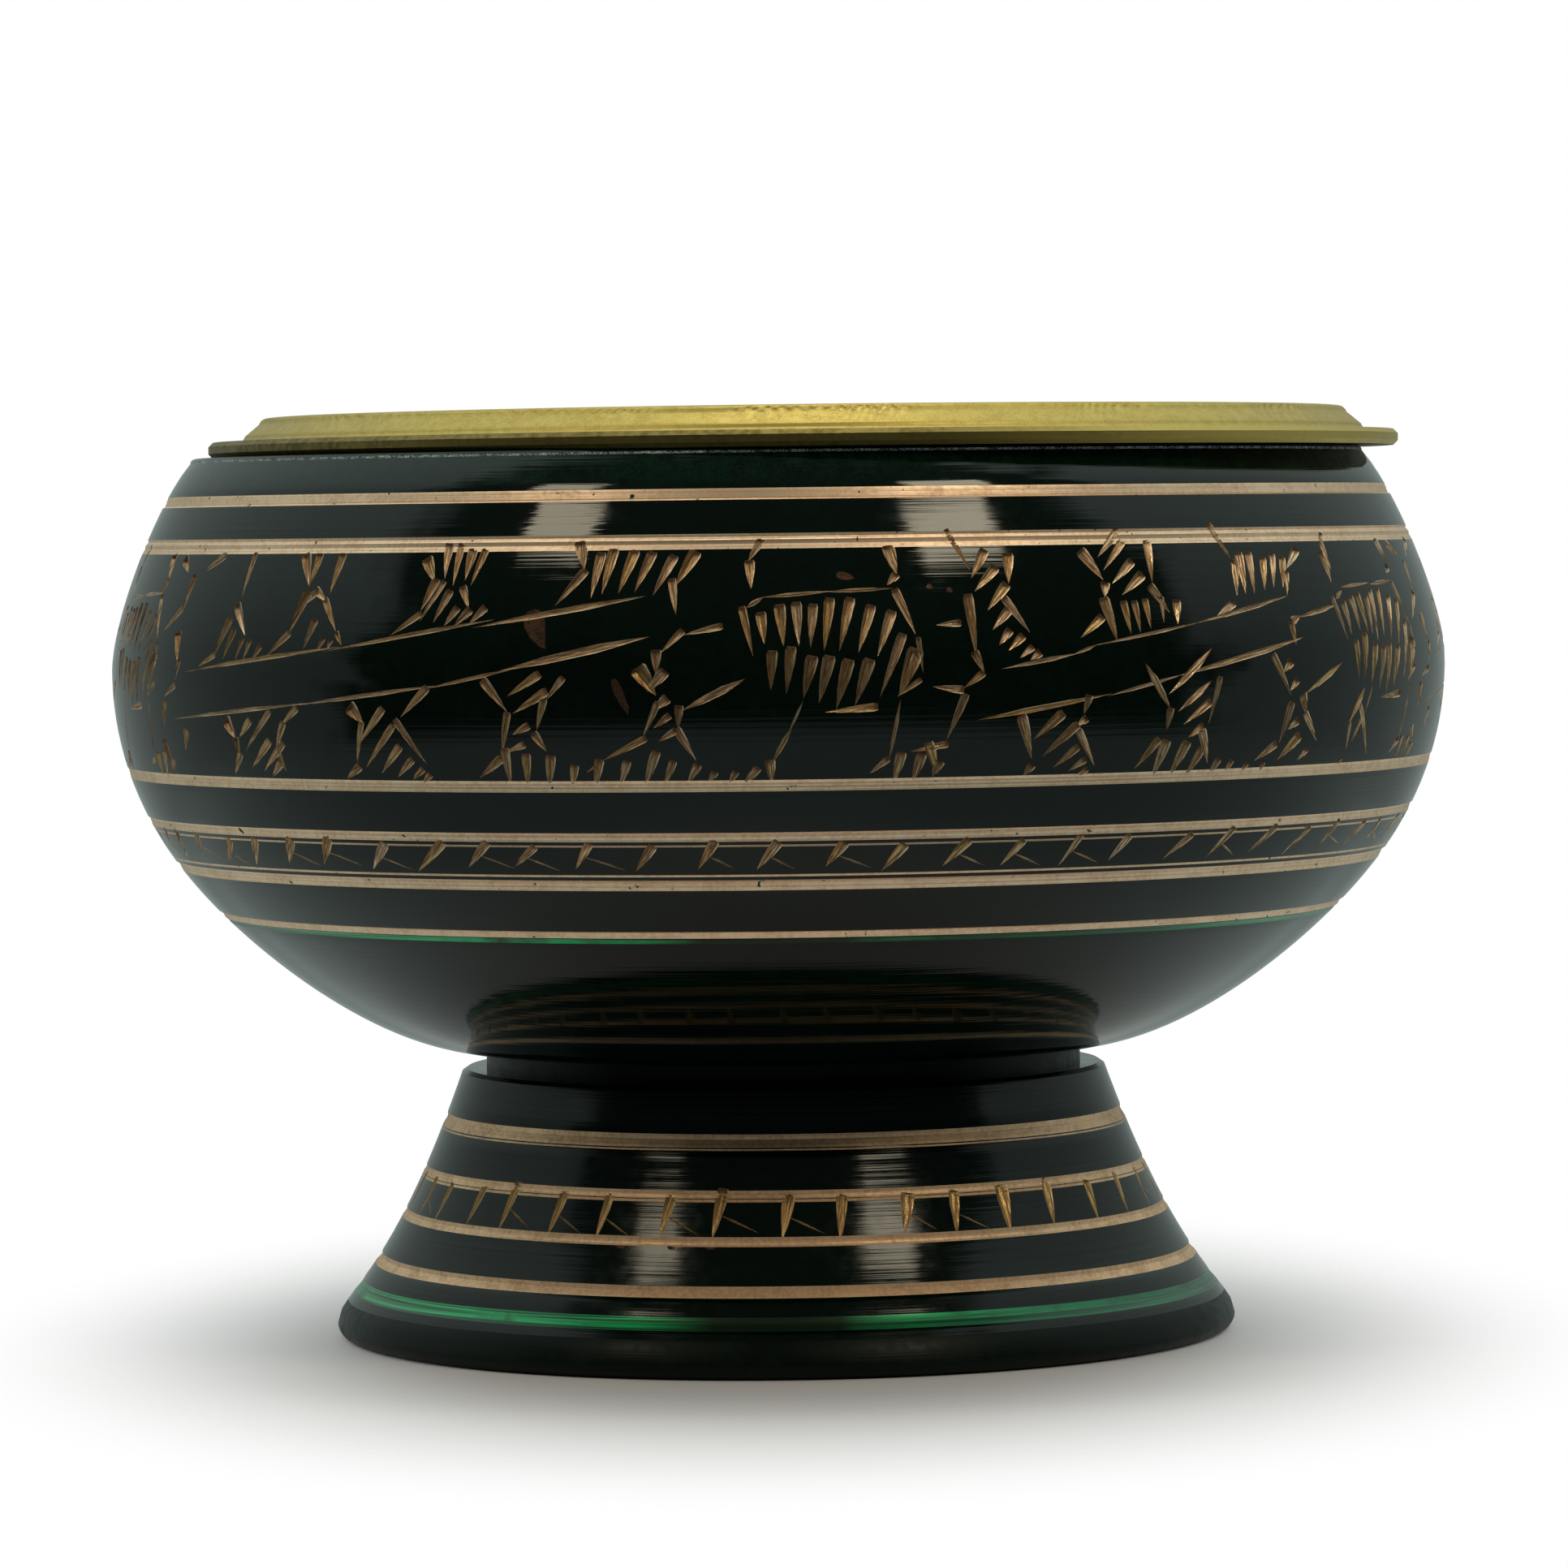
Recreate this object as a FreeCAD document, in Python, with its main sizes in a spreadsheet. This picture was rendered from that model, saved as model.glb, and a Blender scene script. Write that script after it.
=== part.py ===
import FreeCAD, Part
import Sketcher
import math
import os

# Footed brass charcoal bowl with a loose screen ring lying on its rim.
# Frame: +Z up, origin on the ground under the bowl's axis, millimetres.

V = FreeCAD.Vector
doc = FreeCAD.newDocument("charcoal_bowl")
sheet = doc.addObject("Spreadsheet::Sheet", "sizes")

# ---------------------------------------------------------------- driving sizes
SIZES = [
    # bowl, outside
    ("bowl_width", 76.0, "widest diameter of the bowl"),
    ("belly_height", 38.2, "height of the widest line above the ground"),
    ("mouth_height", 50.25, "height of the flat rim"),
    ("mouth_width", 66.8, "outside diameter at the rim"),
    ("hip_width", 66.1, "diameter where the belly turns in towards the foot"),
    ("hip_height", 25.6, "height of that turn"),
    ("base_height", 16.4, "height of the underside"),
    # bowl, inside
    ("bowl_wall", 1.8, "thickness of the bowl wall at rim and belly"),
    ("floor_thick", 3.1, "thickness of the floor over the screw boss"),
    ("floor_width", 26.0, "diameter of the flat part of the floor"),
    ("rim_chamfer", 0.3, "broken edges of the rim"),
    # neck, spigot and screw hole under the bowl
    ("neck_step", 1.4, "how far the neck stands in from the foot's top shoulder"),
    ("base_step", 0.6, "how far the underside's corner stands out from the neck"),
    ("spigot_width", 12.0, "diameter of the spigot that centres the foot"),
    ("spigot_short", 0.4, "how far the spigot stays inside the foot's deck"),
    ("hole_roof", 1.2, "metal left over the blind screw hole"),
    # foot
    ("foot_height", 15.3, "height of the foot's top shoulder"),
    ("foot_top_width", 36.8, "diameter of the top shoulder"),
    ("foot_base_width", 51.4, "widest diameter, near the ground"),
    ("foot_round", 0.8, "rounding of the foot's outer bottom edge"),
    ("foot_wall", 1.6, "wall thickness of the foot"),
    ("deck_thick", 1.8, "thickness of the deck the bowl stands on"),
    ("spigot_gap", 0.1, "radial clearance round the spigot"),
    # foot screw and washer
    ("screw_width", 4.0, "thread diameter"),
    ("screw_gap", 0.05, "radial clearance of the thread as modelled"),
    ("screw_tip_gap", 0.5, "free depth over the screw's tip"),
    ("head_width", 7.0, "head diameter"),
    ("head_thick", 2.6, "head height"),
    ("slot_width", 1.1, "screwdriver slot width"),
    ("slot_depth", 1.3, "screwdriver slot depth"),
    ("washer_width", 17.0, "washer diameter"),
    ("washer_thick", 1.2, "washer thickness"),
    ("washer_gap", 0.25, "radial clearance of the screw in the washer"),
    # screen ring
    ("screen_shift", 1.55, "sideways shift of the loose ring on the rim"),
    ("flange_reach", 0.5, "how much wider than the rim the flange is, on the radius"),
    ("flange_thick", 0.9, "thickness of the flange"),
    ("flange_chamfer", 0.25, "broken edges of the flange"),
    ("collar_step", 2.1, "how far the collar's foot stands in from the flange's edge"),
    ("collar_slope", 0.9, "how far the collar leans in from foot to top"),
    ("collar_height", 1.35, "height of the collar over the flange"),
    ("cove", 0.35, "hollow corner between flange and collar"),
    ("skirt_gap", 0.3, "least clearance of the skirt inside the rim"),
    ("skirt_depth", 3.0, "how far the skirt hangs under the flange"),
    ("skirt_wall", 2.5, "wall of the skirt, its top carries the mesh"),
    ("ledge_drop", 0.35, "depth of the mesh ledge under the rim"),
    ("ledge_width", 1.7, "width of the mesh ledge"),
    # woven mesh and its retaining ring
    ("wire_width", 0.5, "wire diameter"),
    ("mesh_pitch", 2.4, "distance between neighbouring wires"),
    ("cross_gap", 0.04, "clearance between two wires where they cross"),
    ("mesh_slack", 0.02, "clearance over and under the mesh in its slot"),
    ("mesh_edge_gap", 0.3, "clearance between wire ends and the counterbore"),
    ("retainer_gap", 0.02, "radial clearance of the retaining ring"),
    ("retainer_width", 1.5, "radial width of the retaining ring"),
    ("retainer_thick", 1.0, "height of the retaining ring"),
    ("retainer_split", 1.6, "gap in the split retaining ring"),
    # turned ring lines
    ("line_depth", 0.2, "depth of the turned ring lines"),
]

# Ring lines: the height each one is measured from, the distance up or down, and its width.
BOWL_LINES = [("mouth_height", -2.48, 0.60), ("mouth_height", -4.96, 0.80), ("base_height", 16.14, 0.60),
              ("base_height", 13.42, 0.48), ("base_height", 10.81, 0.57), ("base_height", 8.06, 0.37)]
FOOT_LINES = [("foot_height", -2.85, 0.72), ("foot_round", 8.74, 0.60), ("foot_round", 6.35, 0.51),
              ("foot_round", 3.76, 0.61), ("foot_round", 2.44, 0.30)]

rows = [(name, str(value), note) for name, value, note in SIZES]
for prefix, lines in (("bowl_line", BOWL_LINES), ("foot_line", FOOT_LINES)):
    for number, (datum, away, width) in enumerate(lines, 1):
        name = "%s_%d" % (prefix, number)
        rows.append((name + "_away", str(away), "distance of a ring line from the " + datum.replace("_", " ")))
        rows.append((name + "_height", "=%s + %s_away" % (datum, name), "middle height of a ring line"))
        rows.append((name + "_width", str(width), "width of a ring line"))

# Heights and radii that follow from the sizes above.
rows += [
    ("neck_radius", "=foot_top_width / 2 - neck_step", "radius of the neck over the foot"),
    ("base_radius", "=neck_radius + base_step", "radius where the underside meets the neck"),
    ("floor_top", "=base_height + floor_thick", "inside floor height"),
    ("mouth_radius", "=mouth_width / 2 - bowl_wall", "inside radius of the mouth"),
    ("inner_belly", "=bowl_width / 2 - bowl_wall", "inside radius at the belly"),
    ("deck_bottom", "=foot_height - deck_thick", "underside of the foot's deck"),
    ("head_top", "=deck_bottom - washer_thick", "height where the screw head starts"),
    ("slot_roof", "=head_top - head_thick + slot_depth", "where the screwdriver slot ends"),
    ("hole_top", "=floor_top - hole_roof", "top of the blind screw hole"),
    ("skirt_radius", "=mouth_radius - screen_shift - skirt_gap", "outside radius of the skirt"),
    ("ring_bore", "=skirt_radius - skirt_wall", "bore of the screen ring"),
    ("counterbore", "=ring_bore + ledge_width", "radius of the seat for mesh and retaining ring"),
    ("ledge_height", "=mouth_height - ledge_drop", "height of the mesh ledge"),
    ("flange_radius", "=mouth_width / 2 + flange_reach", "outside radius of the flange"),
    ("collar_base", "=flange_radius - collar_step", "radius of the collar over the cove"),
    ("collar_edge", "=collar_base - collar_slope", "radius of the collar at its top"),
    ("flange_top", "=mouth_height + flange_thick", "top of the flange"),
    ("collar_top", "=flange_top + collar_height", "top of the collar"),
    ("wave", "=(wire_width + cross_gap) / 2", "how far a wire rises and dips in the weave"),
    ("mesh_middle", "=ledge_height + mesh_slack + wave + wire_width / 2", "middle height of the mesh"),
    ("retainer_bottom", "=mesh_middle + wave + wire_width / 2 + mesh_slack", "underside of the retainer"),
]
for number, (name, value, note) in enumerate(rows, 1):
    sheet.set("A%d" % number, name)
    sheet.set("B%d" % number, value)
    sheet.set("C%d" % number, note)
    sheet.setAlias("B%d" % number, name)
doc.recompute()
spare_row = [len(rows) + 2]


def size(name):
    """A size from the sheet as a plain number."""
    return float(sheet.get(name))


def formulas(texts):
    """Put formulas in the sheet; give back {formula: (cell name, value)}."""
    found = {}
    for text in texts:
        if text not in found:
            cell = "B%d" % spare_row[0]
            alias = "point_%d" % spare_row[0]
            sheet.set(cell, "=" + text)
            sheet.setAlias(cell, alias)
            spare_row[0] += 1
            found[text] = [alias, None]
    doc.recompute()
    for text in found:
        found[text][1] = size(found[text][0])
    return found


# ---------------------------------------------------------------- sketch helpers
def new_body(label):
    body = doc.addObject("PartDesign::Body", label)
    body.Label = label
    return body


def new_sketch(body, name, plane, lift=None):
    """A sketch on one of the body's own planes, lifted along its normal by a sheet size."""
    sketch = body.newObject("Sketcher::SketchObject", name)
    support = [item for item in body.Origin.OriginFeatures if item.Role == plane][0]
    sketch.AttachmentSupport = [(support, "")]
    sketch.MapMode = "FlatFace"
    if lift:
        sketch.setExpression("AttachmentOffset.Base.z", lift)
    return sketch


def lock(sketch, edge, end, across, up, cells):
    """Hold one end of an edge at two formulas; a zero puts the point on the axis."""
    for kind, axis, text in (("DistanceX", -2, across), ("DistanceY", -1, up)):
        alias, value = cells[text]
        if abs(value) < 1e-9:
            sketch.addConstraint(Sketcher.Constraint("PointOnObject", edge, end, axis))
        else:
            index = sketch.addConstraint(Sketcher.Constraint(kind, -1, 1, edge, end, value))
            sketch.setExpression("Constraints[%d]" % index, "sizes." + alias)


def outline(body, name, path, plane="XZ_Plane"):
    """Closed outline through corners (across, up). A list of two points between two corners
    holds the handles of a smooth curve; without it the side is straight."""
    sketch = new_sketch(body, name, plane)
    texts = []
    for item in path:
        for point in item if isinstance(item, list) else [item]:
            texts.extend(point)
    cells = formulas(texts)

    def at(point):
        return V(cells[point[0]][1], cells[point[1]][1], 0)

    corners = [item for item in path if not isinstance(item, list)]
    number = 0
    for place, item in enumerate(path):
        if isinstance(item, list):
            continue
        start = item
        following = path[(place + 1) % len(path)]
        if isinstance(following, list):
            end = path[(place + 2) % len(path)]
            bezier = Part.BezierCurve()
            bezier.setPoles([at(start), at(following[0]), at(following[1]), at(end)])
            sketch.addGeometry(bezier.toBSpline(), False)
        else:
            sketch.addGeometry(Part.LineSegment(at(start), at(following)), False)
        number += 1
    for edge in range(number):
        sketch.addConstraint(Sketcher.Constraint("Coincident", edge, 2, (edge + 1) % number, 1))
    for edge, corner in enumerate(corners):
        lock(sketch, edge, 1, corner[0], corner[1], cells)
    return sketch


def turned(body, name, path):
    """A solid of revolution round the vertical axis."""
    sketch = outline(body, name + "_outline", path)
    turn = body.newObject("PartDesign::Revolution", name)
    turn.Profile = sketch
    turn.ReferenceAxis = (sketch, ["V_Axis"])
    turn.Angle = 360.0
    doc.recompute()
    return turn


def curve_point(poles, t):
    """Point (radius, height) on a four-pole curve."""
    weights = ((1 - t) ** 3, 3 * t * (1 - t) ** 2, 3 * t ** 2 * (1 - t), t ** 3)
    return tuple(sum(w * pole[k] for w, pole in zip(weights, poles)) for k in (0, 1))


def radius_at(spans, height):
    """Outside radius at a height, found by halving along the span that holds it."""
    for poles in spans:
        if min(poles[0][1], poles[3][1]) <= height <= max(poles[0][1], poles[3][1]):
            low, high = 0.0, 1.0
            falling = poles[0][1] > poles[3][1]
            for _ in range(40):
                middle = (low + high) / 2
                above = curve_point(poles, middle)[1] > height
                if above == falling:
                    low = middle
                else:
                    high = middle
            return curve_point(poles, low)[0]


def numbers(span):
    """The corners and handles of one curve as plain numbers."""
    cells = formulas([text for point in span for text in point])
    return [(cells[across][1], cells[up][1]) for across, up in span]


LINE_TOOL_REACH = 0.5  # how far the V tool stands out of the wall


def ring_lines(body, prefix, count, spans):
    """Shallow V grooves turned round the outside."""
    before = body.Shape.Volume
    sketch = new_sketch(body, body.Label + "_ring_lines", "XZ_Plane")
    spans = [numbers(span) for span in spans]
    for number in range(1, count + 1):
        middle = size("%s_%d_height" % (prefix, number))
        half = size("%s_%d_width" % (prefix, number)) / 2
        low, high = (radius_at(spans, middle + side * half) for side in (-1, 1))
        lean = math.atan2(high - low, 2 * half)
        out = V(math.cos(lean), -math.sin(lean), 0)
        along = V(math.sin(lean), math.cos(lean), 0)
        centre = V((low + high) / 2, middle, 0)
        spread = along * (half / math.cos(lean)) * (1 + LINE_TOOL_REACH / size("line_depth"))
        back = centre + out * LINE_TOOL_REACH
        corners = [centre - out * size("line_depth"), back + spread, back - spread]
        for start, end in zip(corners, corners[1:] + corners[:1]):
            sketch.addGeometry(Part.LineSegment(start, end), False)
    groove = body.newObject("PartDesign::Groove", body.Label + "_grooves")
    groove.Profile = sketch
    groove.ReferenceAxis = (sketch, ["V_Axis"])
    groove.Angle = 360.0
    doc.recompute()
    if not groove.Shape.Volume < before:
        raise RuntimeError("the ring lines of %s cut nothing" % body.Label)


# ---------------------------------------------------------------- bowl shell
MOUTH = ("mouth_width / 2", "mouth_height")
BELLY = ("bowl_width / 2", "belly_height")
HIP = ("hip_width / 2", "hip_height")
BASE = ("base_radius", "base_height")
SHOULDER_HANDLES = [("bowl_width / 2", "belly_height + 2.98"), ("mouth_width / 2 + 1.8", "mouth_height - 2.33")]
BELLY_HANDLES = [("bowl_width / 2", "belly_height - 6.6"), ("hip_width / 2 + 1.57", "hip_height + 1.8")]
HIP_HANDLES = [("hip_width / 2 - 3.44", "hip_height - 3.94"), ("base_radius + 5.18", "base_height")]

bowl = new_body("bowl_shell")
turned(bowl, "bowl_turning", [
    ("0", "floor_top"),
    ("0", "hole_top"),
    ("screw_width / 2", "hole_top"),
    ("screw_width / 2", "deck_bottom + spigot_short"),
    ("spigot_width / 2", "deck_bottom + spigot_short"),
    ("spigot_width / 2", "foot_height"),
    ("neck_radius", "foot_height"),
    ("neck_radius", "base_height"),
    BASE,
    [HIP_HANDLES[1], HIP_HANDLES[0]],
    HIP,
    [BELLY_HANDLES[1], BELLY_HANDLES[0]],
    BELLY,
    SHOULDER_HANDLES,
    ("mouth_width / 2", "mouth_height - rim_chamfer"),
    ("mouth_width / 2 - rim_chamfer", "mouth_height"),
    ("mouth_radius + rim_chamfer", "mouth_height"),
    ("mouth_radius", "mouth_height - rim_chamfer"),
    [("mouth_radius + 1.8", "mouth_height - 2.33"), ("inner_belly", "belly_height + 2.98")],
    ("inner_belly", "belly_height"),
    [("inner_belly", "belly_height - 11.3"), ("floor_width / 2 + 9.5", "floor_top")],
    ("floor_width / 2", "floor_top"),
])
ring_lines(bowl, "bowl_line", len(BOWL_LINES), [[BASE, HIP_HANDLES[1], HIP_HANDLES[0], HIP],
                                                [HIP, BELLY_HANDLES[1], BELLY_HANDLES[0], BELLY],
                                                [BELLY] + SHOULDER_HANDLES + [MOUTH]])

# ---------------------------------------------------------------- foot
FOOT_TOP = ("foot_top_width / 2", "foot_height - 0.2")
FOOT_EDGE = ("foot_base_width / 2", "foot_round")
FOOT_HANDLES = [("foot_top_width / 2 + 4.33", "foot_height - 12.3"), ("foot_base_width / 2", "foot_round + 1.61")]

foot = new_body("foot")
turned(foot, "foot_turning", [
    ("spigot_width / 2 + spigot_gap", "foot_height"),
    ("spigot_width / 2 + spigot_gap", "deck_bottom"),
    ("foot_top_width / 2 - foot_wall - 1", "deck_bottom"),
    [("foot_top_width / 2 + 3.2 - foot_wall", "deck_bottom - 3"),
     ("foot_base_width / 2 - foot_round - foot_wall", "3.5")],
    ("foot_base_width / 2 - foot_round - foot_wall", "0"),
    ("foot_base_width / 2 - foot_round", "0"),
    [("foot_base_width / 2 - foot_round / 2", "0"), ("foot_base_width / 2", "foot_round / 2")],
    FOOT_EDGE,
    [FOOT_HANDLES[1], FOOT_HANDLES[0]],
    FOOT_TOP,
    ("foot_top_width / 2 - 0.3", "foot_height"),
])
ring_lines(foot, "foot_line", len(FOOT_LINES), [[FOOT_EDGE, FOOT_HANDLES[1], FOOT_HANDLES[0], FOOT_TOP]])

# ---------------------------------------------------------------- foot washer and screw
washer = new_body("foot_washer")
turned(washer, "washer_turning", [
    ("screw_width / 2 + washer_gap", "head_top"),
    ("washer_width / 2", "head_top"),
    ("washer_width / 2", "deck_bottom"),
    ("screw_width / 2 + washer_gap", "deck_bottom"),
])

screw = new_body("foot_screw")
turned(screw, "screw_turning", [
    ("0", "head_top - head_thick"),
    ("head_width / 2 - 0.3", "head_top - head_thick"),
    ("head_width / 2", "head_top - head_thick + 0.3"),
    ("head_width / 2", "head_top"),
    ("screw_width / 2 - screw_gap", "head_top"),
    ("screw_width / 2 - screw_gap", "hole_top - screw_tip_gap - 0.4"),
    ("screw_width / 2 - screw_gap - 0.4", "hole_top - screw_tip_gap"),
    ("0", "hole_top - screw_tip_gap"),
])


SLOT_REACH = 4.0  # a slot cutter runs this far down, well out of the piece


def cut_slot(body, name, top, half_length, half_width, offset="0"):
    """Cut a straight slot downwards from the height in the sheet cell 'top'."""
    before = body.Shape.Volume
    sketch = new_sketch(body, name + "_outline", "XY_Plane", "sizes." + top)
    left = "(%s) - (%s)" % (offset, half_length)
    right = "(%s) + (%s)" % (offset, half_length)
    near = "-(%s)" % half_width
    cells = formulas([left, right, near, half_width])
    corners = [(left, near), (right, near), (right, half_width), (left, half_width)]
    points = [V(cells[across][1], cells[up][1], 0) for across, up in corners]
    for start, end in zip(points, points[1:] + points[:1]):
        sketch.addGeometry(Part.LineSegment(start, end), False)
    for edge in range(4):
        sketch.addConstraint(Sketcher.Constraint("Coincident", edge, 2, (edge + 1) % 4, 1))
    for edge, (across, up) in enumerate(corners):
        lock(sketch, edge, 1, across, up, cells)
    slot = body.newObject("PartDesign::Pocket", name)
    slot.Profile = sketch
    slot.Length = SLOT_REACH
    doc.recompute()
    if not slot.Shape.Volume < before:
        raise RuntimeError("%s cuts nothing" % name)


cut_slot(screw, "screwdriver_slot", "slot_roof", "head_width / 2 + 1", "slot_width / 2")

# ---------------------------------------------------------------- screen ring
ring = new_body("screen_ring")
turned(ring, "ring_turning", [
    ("ring_bore", "mouth_height - skirt_depth + 0.3"),
    ("ring_bore", "ledge_height"),
    ("counterbore", "ledge_height"),
    ("counterbore", "collar_top - 0.25"),
    ("counterbore + 0.25", "collar_top"),
    ("collar_edge - 0.35", "collar_top"),
    [("collar_edge - 0.12", "collar_top"), ("collar_edge + 0.02", "collar_top - 0.12")],
    ("collar_edge + 0.12", "collar_top - 0.35"),
    ("collar_base", "flange_top + cove"),
    [("collar_base + 0.1", "flange_top + cove / 2"), ("collar_base + cove / 2", "flange_top")],
    ("collar_base + cove", "flange_top"),
    ("flange_radius - flange_chamfer", "flange_top"),
    ("flange_radius", "flange_top - flange_chamfer"),
    ("flange_radius", "mouth_height + flange_chamfer"),
    ("flange_radius - flange_chamfer", "mouth_height"),
    ("skirt_radius", "mouth_height"),
    ("skirt_radius", "mouth_height - skirt_depth + 0.3"),
    ("skirt_radius - 0.3", "mouth_height - skirt_depth"),
    ("ring_bore + 0.3", "mouth_height - skirt_depth"),
])

# ---------------------------------------------------------------- split retaining ring
retainer = new_body("retaining_ring")
turned(retainer, "retainer_turning", [
    ("counterbore - retainer_gap - retainer_width", "retainer_bottom"),
    ("counterbore - retainer_gap", "retainer_bottom"),
    ("counterbore - retainer_gap", "retainer_bottom + retainer_thick - 0.2"),
    ("counterbore - retainer_gap - 0.2", "retainer_bottom + retainer_thick"),
    ("counterbore - retainer_gap - retainer_width + 0.2", "retainer_bottom + retainer_thick"),
    ("counterbore - retainer_gap - retainer_width", "retainer_bottom + retainer_thick - 0.2"),
])
cut_slot(retainer, "split", "collar_top", "4", "retainer_split / 2", "-counterbore")


# ---------------------------------------------------------------- woven mesh
LEAST_WIRE_END = 0.25  # a stub shorter than this share of the pitch is cut off


def wire_solid(offset, sign):
    """One crimped wire along X at a sideways offset: a chain of equal arcs that rise and dip
    over the crossing wires, cut off at the round edge of the mesh."""
    pitch = size("mesh_pitch")
    wave = size("wave")
    bend = ((pitch / 2) ** 2 + wave ** 2) / (2 * wave)
    edge = size("counterbore") - size("mesh_edge_gap")
    reach = math.sqrt(edge ** 2 - (abs(offset) + size("wire_width") / 2) ** 2)
    crossings = math.floor(reach / pitch + 0.5)
    last = (crossings - 0.5) * pitch
    if reach - last < LEAST_WIRE_END * pitch:
        reach = last
        crossings -= 1

    def on_path(x):
        crossing = round(x / pitch - 1e-9 * x)
        side = sign * (-1) ** crossing
        z = wave - bend + math.sqrt(bend ** 2 - (x - crossing * pitch) ** 2)
        return V(x, offset, side * z)

    turns = [(k + 0.5) * pitch for k in range(-crossings, crossings)]
    stations = [-reach] + turns + [reach]
    arcs = []
    for start, end in zip(stations, stations[1:]):
        arcs.append(Part.Arc(on_path(start), on_path((start + end) / 2), on_path(end)).toShape())
    centre = arcs[0].Curve.value(arcs[0].FirstParameter)
    tangent = arcs[0].tangentAt(arcs[0].FirstParameter)
    section = Part.Face(Part.Wire(Part.Circle(centre, tangent, size("wire_width") / 2).toShape()))
    return Part.Wire(arcs).makePipe(section)


def wire_set(label, turn, sign):
    """All wires of the mesh that run one way; neighbours rise and dip in turn."""
    pitch = size("mesh_pitch")
    edge = size("counterbore") - size("mesh_edge_gap") - size("wire_width") / 2
    count = math.floor(math.sqrt(edge ** 2 - (2 * pitch) ** 2) / pitch)
    wires = [wire_solid(k * pitch, sign * (-1) ** k) for k in range(-count, count + 1)]
    feature = doc.addObject("Part::Feature", label)
    feature.Label = label
    feature.Shape = Part.makeCompound(wires)
    feature.Placement = FreeCAD.Placement(V(0, 0, size("mesh_middle")), FreeCAD.Rotation(V(0, 0, 1), turn))
    feature.setExpression("Placement.Base.x", "sizes.screen_shift")
    feature.setExpression("Placement.Base.z", "sizes.mesh_middle")
    return feature


warp = wire_set("screen_warp_wires", 0, 1)
weft = wire_set("screen_weft_wires", 90, -1)

for loose in (ring, retainer):
    loose.setExpression("Placement.Base.x", "sizes.screen_shift")

# ---------------------------------------------------------------- check and write
doc.recompute()
PIECES = [bowl, foot, washer, screw, ring, retainer, warp, weft]
for item in doc.Objects:
    if "Invalid" in item.State or "Error" in item.State:
        raise RuntimeError("%s did not compute" % item.Label)
os.makedirs("parts", exist_ok=True)
for piece in PIECES:
    shape = piece.Shape
    if shape.isNull() or not shape.isValid():
        raise RuntimeError("%s is not a valid solid" % piece.Label)
    shape.exportStep(os.path.join("parts", piece.Label + ".step"))
    box = shape.BoundBox
    print("%-18s %3d solid(s) %8.1f mm3   x %6.2f..%6.2f  y %6.2f..%6.2f  z %6.2f..%6.2f" % (
        piece.Label, len(shape.Solids), shape.Volume, box.XMin, box.XMax, box.YMin, box.YMax, box.ZMin, box.ZMax))
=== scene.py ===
# %% [markdown]
# # A lacquered brass charcoal bowl
# The object is a small turned brass bowl on a flared foot, dipped in black-green lacquer. Ring lines are
# turned through the lacquer on the lathe, and a frieze of leaves, stems and shells is struck through it
# with a burin, so the brass shows. A loose brass ring with a woven screen lies on the rim.
# The fixed frame gives every place and size; this script dresses it. Lengths are typed in millimetres.

# %% Load the frame
import bpy
import math
import numpy as np
from mathutils import Matrix, Vector, geometry


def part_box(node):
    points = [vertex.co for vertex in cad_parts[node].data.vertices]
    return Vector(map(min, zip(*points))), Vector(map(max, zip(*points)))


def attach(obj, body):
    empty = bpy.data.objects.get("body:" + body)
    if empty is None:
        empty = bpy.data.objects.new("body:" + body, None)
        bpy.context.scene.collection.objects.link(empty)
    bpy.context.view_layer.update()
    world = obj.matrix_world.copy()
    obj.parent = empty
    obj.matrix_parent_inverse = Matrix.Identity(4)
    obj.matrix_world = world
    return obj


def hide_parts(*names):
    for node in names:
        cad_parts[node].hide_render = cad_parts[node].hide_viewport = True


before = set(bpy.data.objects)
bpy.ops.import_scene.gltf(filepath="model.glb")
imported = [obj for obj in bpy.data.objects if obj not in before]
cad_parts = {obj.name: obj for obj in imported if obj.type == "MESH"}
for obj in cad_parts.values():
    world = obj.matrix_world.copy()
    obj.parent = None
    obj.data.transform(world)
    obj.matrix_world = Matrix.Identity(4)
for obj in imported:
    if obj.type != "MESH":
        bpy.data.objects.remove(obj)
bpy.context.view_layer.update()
MM = 0.001
rng = np.random.default_rng(7)


def box_mm(node):
    """Lowest and highest corner of a frame node, in millimetres."""
    low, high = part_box(node)
    return np.array(low) / MM, np.array(high) / MM


bowl_low, bowl_high = box_mm("bowl_shell")
_, foot_high = box_mm("foot")
ring_low, ring_high = box_mm("screen_ring")
BELLY = min(-bowl_low[0], bowl_high[0])
MOUTH_TOP = bowl_high[2]
FOOT_TOP = foot_high[2]
FOOT_REACH = foot_high[0]
RING_X = (ring_low[0] + ring_high[0]) / 2
FLANGE = (ring_high[0] - ring_low[0]) / 2
print("belly radius %.1f, rim at %.2f, foot %.2f high, ring shifted %.2f mm" % (
    BELLY, MOUTH_TOP, FOOT_TOP, RING_X))

# %% [markdown]
# ## Profiles
# A turned piece is one profile carried round an axis. The profiles here are smooth four-point curves, the
# same ones a turner would cut a template to. They could be traced as many points, but a few handles keep the
# curve fair and easy to change. Every profile is then walked in equal steps along its length.

# %% Profile tools
def smooth_curve(points, steps=160):
    """Four-point (cubic) curve: the weights of its points are the terms of ((1 - t) + t) cubed."""
    t = np.linspace(0, 1, steps)[:, None]
    p = np.array(points, float)
    return (1 - t) ** 3 * p[0] + 3 * t * (1 - t) ** 2 * p[1] + 3 * t ** 2 * (1 - t) * p[2] + t ** 3 * p[3]


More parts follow.
